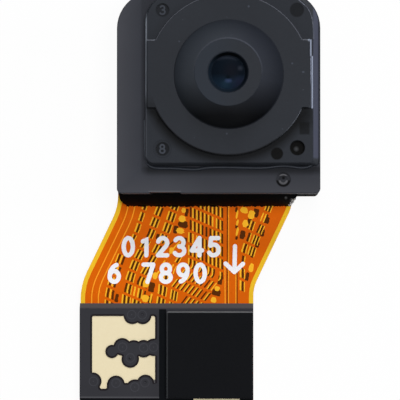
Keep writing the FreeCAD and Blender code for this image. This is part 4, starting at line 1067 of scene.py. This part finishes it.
def middle_route(column):
    across = MIDDLE_FIRST + column * MIDDLE_PITCH
    share = column / (MIDDLE_COLUMNS - 1)
    turn, foot = (start + (stop - start) * share for start, stop in (MIDDLE_TURNS, MIDDLE_FEET))
    foot = min(foot, MIDDLE_LOWEST)
    return (across, MIDDLE_TOP), (across, turn), (across - (foot - turn) * MIDDLE_SLANT, foot)


def build_dashes():
    """Windows and gaps of the copper pattern, in two pieces by their colour."""
    chance = random.Random(7)
    yellow, dark = Slabs(film_height, SHEET + LAYER), Slabs(film_height)
    bundles = [(LEFT_SINGLE, SINGLE), (LEFT_DOUBLE, DOUBLE), (LEFT_PAIR, PAIR),
               (INNER_PAIR, PAIR), (RIGHT_PAIR, NARROW_PAIR), (RIGHT_SINGLE, SINGLE)]
    bundles += [(middle_route(column), MIDDLE_STRIPES, KEPT_MIDDLE_DASHES)
                for column in range(MIDDLE_COLUMNS)]
    bundles += [(FOOT_LEFT, PAIR), (FOOT_MIDDLE, NARROW_PAIR), (INNER_SINGLE, SINGLE),
                (VIA_LINE, VIA_STRIPES, KEPT_VIA_DASHES)]
    for route, stripes, *keep in bundles:
        add_bundle(yellow, dark, route, stripes, chance, *keep)
    for slabs, spots, squareness in ((dark, GAPS, GAP_SQUARENESS),
                                     (yellow, LANDS, LAND_SQUARENESS)):
        for spot in spots:
            slabs.lift += SPOT_LAYER
            add_spot(slabs, spot, squareness, chance)
    yellow.finish("film_windows", window_yellow, "polyimide_film")
    dark.finish("film_gaps", window_dark, "polyimide_film")


def add_lines(slabs, lines):
    """Thin straight strips down the film."""
    half = pixels(SLIT_WIDTH) / 2
    for line in lines:
        points = resample([film_point(*point) for point in line], LINE_STEP)
        slabs.add_strip(beside(points, half), beside(points, -half))


def build_film_lines():
    """Bare edges, thin tracks, light lines and slits."""
    bare, tracks, slits = Slabs(film_height), Slabs(film_height), Slabs(film_height)
    add_edge_strips(bare, tracks)
    add_lines(tracks, LIGHT_LINES)
    add_lines(slits, SLITS)
    bare.finish("bare_film_edges", bare_film, "polyimide_film")
    tracks.finish("thin_film_lines", thin_track, "polyimide_film")
    slits.finish("film_slits", slit_brown, "polyimide_film")


build_dashes()
build_film_lines()


# Small things that the photograph shows on the black parts

def add_profile(points, faces, line, profile, height):
    """Sweep a closed profile, given as offsets to the left and heights, along a line."""
    first = len(points)
    offsets = [beside(line, offset) for offset, _ in profile]
    for row in range(len(line)):
        for side, (_, rise) in zip(offsets, profile):
            points.append((*side[row], height + rise))
    count = len(profile)
    for row in range(len(line) - 1):
        here = first + row * count
        for corner in range(count):
            following = (corner + 1) % count
            faces.append((here + corner, here + count + corner, here + count + following,
                          here + following))
    last = first + count * (len(line) - 1)
    faces.append(tuple(range(first, first + count)))
    faces.append(tuple(range(last + count - 1, last - 1, -1)))


CURVE_STEP = 0.06 * MM


def smooth_line(corners, level):
    """Places along a line of pixels, rounded off by two passes of corner cutting."""
    line = [Vector(corner) for corner in corners]
    for _ in range(2):
        cut = [line[0]]
        for start, stop in zip(line, line[1:]):
            cut += [start.lerp(stop, 0.25), start.lerp(stop, 0.75)]
        line = cut + [line[-1]]
    return resample([place(point.x, point.y, level) for point in line], CURVE_STEP)


# Crest of the narrow bead along the foot of the block, which wanders a little.
CREST = ((144.6, 120), (144.8, 150), (145.6, 160), (148.6, 165.4), (153.5, 168.0), (166, 168.2),
         (179, 168.5), (189, 169.4), (197, 169.6), (203, 168.2), (210, 167.4), (230, 167.3),
         (250, 168.0), (267, 167.9), (275, 166.6), (283, 165.9), (291, 166.5), (299, 167.9),
         (307, 167.6), (313, 164.8), (316, 160), (317, 150), (317, 120))
LIP_PROFILE = ((0.09, -0.01), (0.09, 0.015), (0.035, 0.05), (0.015, 0.068), (-0.015, 0.068),
               (-0.04, 0.05), (-0.07, 0.0), (-0.07, -0.01))

lip_points, lip_faces = [], []
add_profile(lip_points, lip_faces, smooth_line(CREST, PLATE_LEVEL),
            [(offset * MM, rise * MM) for offset, rise in LIP_PROFILE], PLATE_LEVEL)
lip = make_piece("seating_lip", lip_points, lip_faces, seat_glue)
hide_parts("seating_adhesive")

# Embossed rings on the tabs of the end film, and the dark line round its window, which is painted
# shade.
TAB_RINGS = ((131.6, 314.8), (142.1, 314.8), (122.4, 347.3), (130.2, 358), (143.6, 347.9),
             (153.5, 347.3), (93.2, 381.6), (115.9, 383.3), (134.7, 387.2), (144.9, 382.7))
RING_LAYER = 0.0002 * MM
RING_RADIUS, RING_PEN, DOT_PEN, DOT_HEIGHT = (pixels(size, END_LEVEL)
                                              for size in (4.3, 0.9, 1.2, 0.3))
ring_slabs = Slabs(end_height, 0.004 * MM)
for centre in TAB_RINGS:
    middle = place(*centre, END_LEVEL)
    circle = [middle + Vector(point) * RING_RADIUS for point in oval((0, 0), (1, 1), 20)]
    ring_slabs.lift += RING_LAYER
    add_stroke(ring_slabs, circle, RING_PEN, True)
    add_stroke(ring_slabs, [middle, middle + Vector((0, DOT_HEIGHT))], DOT_PEN)
ring_slabs.finish("tab_rings", film_ring, "cover_film")


# Where the window lies, by its lower left and upper right, and its outline's two sides.
WINDOW_REACH = ((85, 395), (157.5, 309))
OUTLINE_SIDES = (0.1, 1.9)


def window_edge():
    """Upper edge of the window in the end film, as one closed line of its own corners."""
    mesh = nodes["end_cover_film"].data
    reach = [place(*corner, END_LEVEL) for corner in WINDOW_REACH]
    links = {}
    for face in mesh.polygons:
        if abs(face.normal.z) > 0.1:
            continue
        for start, stop in face.edge_keys:
            first, second = mesh.vertices[start].co, mesh.vertices[stop].co
            upper = min(first.z, second.z) > END_LEVEL - 0.001 * MM
            inside = all(reach[0].x < point.x < reach[1].x and reach[0].y < point.y < reach[1].y
                         for point in (first, second))
            if upper and inside:
                ends = [(round(point.x, 7), round(point.y, 7)) for point in (first, second)]
                links.setdefault(ends[0], []).append(ends[1])
                links.setdefault(ends[1], []).append(ends[0])
    corner = next(iter(links))
    line, before = [], None
    while corner is not None and (not line or corner != line[0]):
        line.append(corner)
        following = [other for other in links[corner] if other != before]
        before, corner = corner, following[0] if following else None
    return [Vector(point) for point in line]


rim_line = window_edge()
# The outline is a strip of painted shade along the window's edge.
rim_slabs = Slabs(end_height, 0.003 * MM)
turning = sum(start.x * stop.y - stop.x * start.y
              for start, stop in zip(rim_line, rim_line[1:] + rim_line[:1]))
outward = -1 if turning > 0 else 1
rim_slabs.add_strip(*(beside(rim_line, pixels(side, END_LEVEL) * outward, True)
                      for side in OUTLINE_SIDES), True)
rim_slabs.finish("window_shade_outline", window_shade_rim, "cover_film")

# Raised numbers in two of the moulded marks: lower left corners and sizes in pixels.
MARK_NUMBERS = (("3", (159.9, 13.6)), ("8", (159.6, 152.9)))
MARK_SIZES = (5, 8.4, 0, 1.7)
mark_height = surface_under("lens_holder")
mark_slabs = Slabs(mark_height, 0.02 * MM)
for digit, corner in MARK_NUMBERS:
    write_number(mark_slabs, digit, corner, MARK_SIZES, BLOCK_LEVEL)
mark_slabs.finish("mould_numbers", mark_black, "holder_black")

# Edge of the block's face that catches the light round the upper right corner.
CORNER_EDGE = ((296, -3), (299.5, 0.5), (304, 4), (308, 8.2), (311.2, 14), (312.8, 21),
               (313.6, 30), (313.8, 39))
edge_slabs = Slabs(mark_height, 0.004 * MM)
edge_line = smooth_line(CORNER_EDGE, BLOCK_LEVEL)
half = pixels(0.45, BLOCK_LEVEL)
edge_slabs.add_strip(beside(edge_line, half), beside(edge_line, -half))
edge_slabs.finish("block_edge", edge_black, "holder_black")

# Pale crumbs on the slanted end of the sealant: their line and how far they are strewn from it.
CRUMB_LINE = ((296.6, 199.2), (291.6, 205.8))
CRUMBS = 26
CRUMB_ASIDE, CRUMB_DOWN = (0.0, 3.6), (-0.6, 0.8)
CRUMB_RADII = (0.45, 1.15)


def build_crumbs(chance):
    seal_height = surface_under("root_sealant")
    shell = bmesh.new()
    for number in range(CRUMBS):
        share = number / (CRUMBS - 1)
        across, down = (start + (stop - start) * share for start, stop in zip(*CRUMB_LINE))
        spot = place(across - chance.uniform(*CRUMB_ASIDE), down + chance.uniform(*CRUMB_DOWN),
                     FILM_LEVEL)
        ground = seal_height(*spot)
        ground = film_height(*spot) if ground is None else ground
        if ground is None:
            continue
        radius = pixels(chance.uniform(*CRUMB_RADII))
        lump = bmesh.ops.create_icosphere(shell, subdivisions=1, radius=radius)["verts"]
        for corner in lump:
            corner.co *= chance.uniform(0.7, 1.15)
            corner.co.z *= 0.7
            corner.co += Vector((*spot, ground + radius * 0.1))
    points = [corner.co.copy() for corner in shell.verts]
    shell.verts.index_update()
    faces = [[corner.index for corner in face.verts] for face in shell.faces]
    shell.free()
    make_piece("sealant_crumbs", points, faces, crumb_grey)


chance = random.Random(11)
build_crumbs(chance)

# Uneven toe of the sealant, squeezed out over the film.
TOE_ENDS = ((126, 205), (291, 205))
TOE_STEPS = 150
TOE_REACH = 0.065
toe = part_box("root_sealant")[0].y
toe_start, toe_stop = (place(*spot, FILM_LEVEL).x for spot in TOE_ENDS)
toe_line, toe_reach = [], []
for step in range(TOE_STEPS + 1):
    spot = toe_start + (toe_stop - toe_start) * step / TOE_STEPS
    toe_line.append(Vector((spot, toe + 0.05 * MM)))
    toe_reach.append(Vector((spot, toe - chance.uniform(0.0, TOE_REACH) * MM)))
toe_slabs = Slabs(film_height, 0.012 * MM)
toe_slabs.add_strip(toe_line, toe_reach)
toe_slabs.finish("sealant_toe", root_glue, "root_glue")


# Camera, floor and light

def aim(thing, target):
    """Turn a camera or lamp at a place, with the picture's top towards +Y."""
    back = (thing.location - target).normalized()
    right = Vector((0, 1, 0)).cross(back).normalized()
    turned = Matrix((right, back.cross(right), back)).transposed()
    thing.rotation_mode = "QUATERNION"
    thing.rotation_quaternion = turned.to_quaternion()


camera_data = bpy.data.cameras.new("camera")
camera = bpy.data.objects.new("camera", camera_data)
bpy.context.scene.collection.objects.link(camera)
camera.location = (*FOOT_PLACE, CAMERA_HEIGHT)
aim(camera, Vector(FRAME_CENTRE))
camera_data.sensor_width = SENSOR_WIDTH
camera_data.lens = CAMERA_PIXELS * SENSOR_WIDTH / FRAME_PIXELS
camera_data.clip_start = 0.005
camera_data.clip_end = 5
bpy.context.scene.camera = camera

# Soft lights: place and side in millimetres, power in watts and colour.
LIGHTS = (("top_light", (40, 20, 265), 120, 0.46, (1, 0.99, 0.97)),
          ("back_light", (20, 200, 180), 100, 0.25, (0.95, 0.97, 1)),
          ("right_light", (220, 40, 110), 90, 0.12, (0.85, 0.92, 1)),
          ("front_light", (-10, -220, 100), 100, 0.09, (1, 0.98, 0.96)))
FILL_COLOUR, FILL_STRENGTH = (0.9, 0.95, 1, 1), 0.11
PAPER_COLOUR, PAPER_WHITE = (0.9, 0.9, 0.9, 1), 0.93
FLOOR_REACH, FLOOR_LEVEL = 0.6, -0.01 * MM

for name, spot, side, power, colour in LIGHTS:
    data = bpy.data.lights.new(name, "AREA")
    data.shape = "SQUARE"
    data.size = side * MM
    data.energy = power
    data.color = colour
    lamp = bpy.data.objects.new(name, data)
    lamp.location = [value * MM for value in spot]
    bpy.context.scene.collection.objects.link(lamp)
    aim(lamp, Vector(FRAME_CENTRE))


def show_white(tree, white, lit, share, end):
    """White to the camera and through clear pieces, up to a share, and lit to other rays."""
    seen, through = (tree.node("ShaderNodeLightPath", {}, {}, ray)
                     for ray in ("Is Camera Ray", "Is Transmission Ray"))
    either = tree.node("ShaderNodeMixShader", {},
                       {0: seen.or_more(through) * share, 1: lit, 2: white})
    tree.node(end, {}, {0: either})


world = bpy.data.worlds.new("studio")
bpy.context.scene.world = world
sky = Tree(world)
white = sky.node("ShaderNodeBackground", {}, {"Color": (1, 1, 1, 1)})
fill = sky.node("ShaderNodeBackground", {}, {"Color": FILL_COLOUR, "Strength": FILL_STRENGTH})
show_white(sky, white, fill, 1, "ShaderNodeOutputWorld")

paper = bpy.data.materials.new("paper")
sheet = Tree(paper)
glow = sheet.node("ShaderNodeEmission", {}, {})
matte = sheet.node("ShaderNodeBsdfDiffuse", {}, {"Color": PAPER_COLOUR})
show_white(sheet, glow, matte, PAPER_WHITE, "ShaderNodeOutputMaterial")

floor_mesh = bpy.data.meshes.new("floor")
floor_mesh.from_pydata([(across * FLOOR_REACH, up * FLOOR_REACH, FLOOR_LEVEL)
                        for across, up in ((-1, -1), (1, -1), (1, 1), (-1, 1))], [],
                       [(0, 1, 2, 3)])
floor_mesh.materials.append(paper)
floor = bpy.data.objects.new("floor", floor_mesh)
bpy.context.scene.collection.objects.link(floor)

bpy.context.scene.view_settings.view_transform = "Standard"
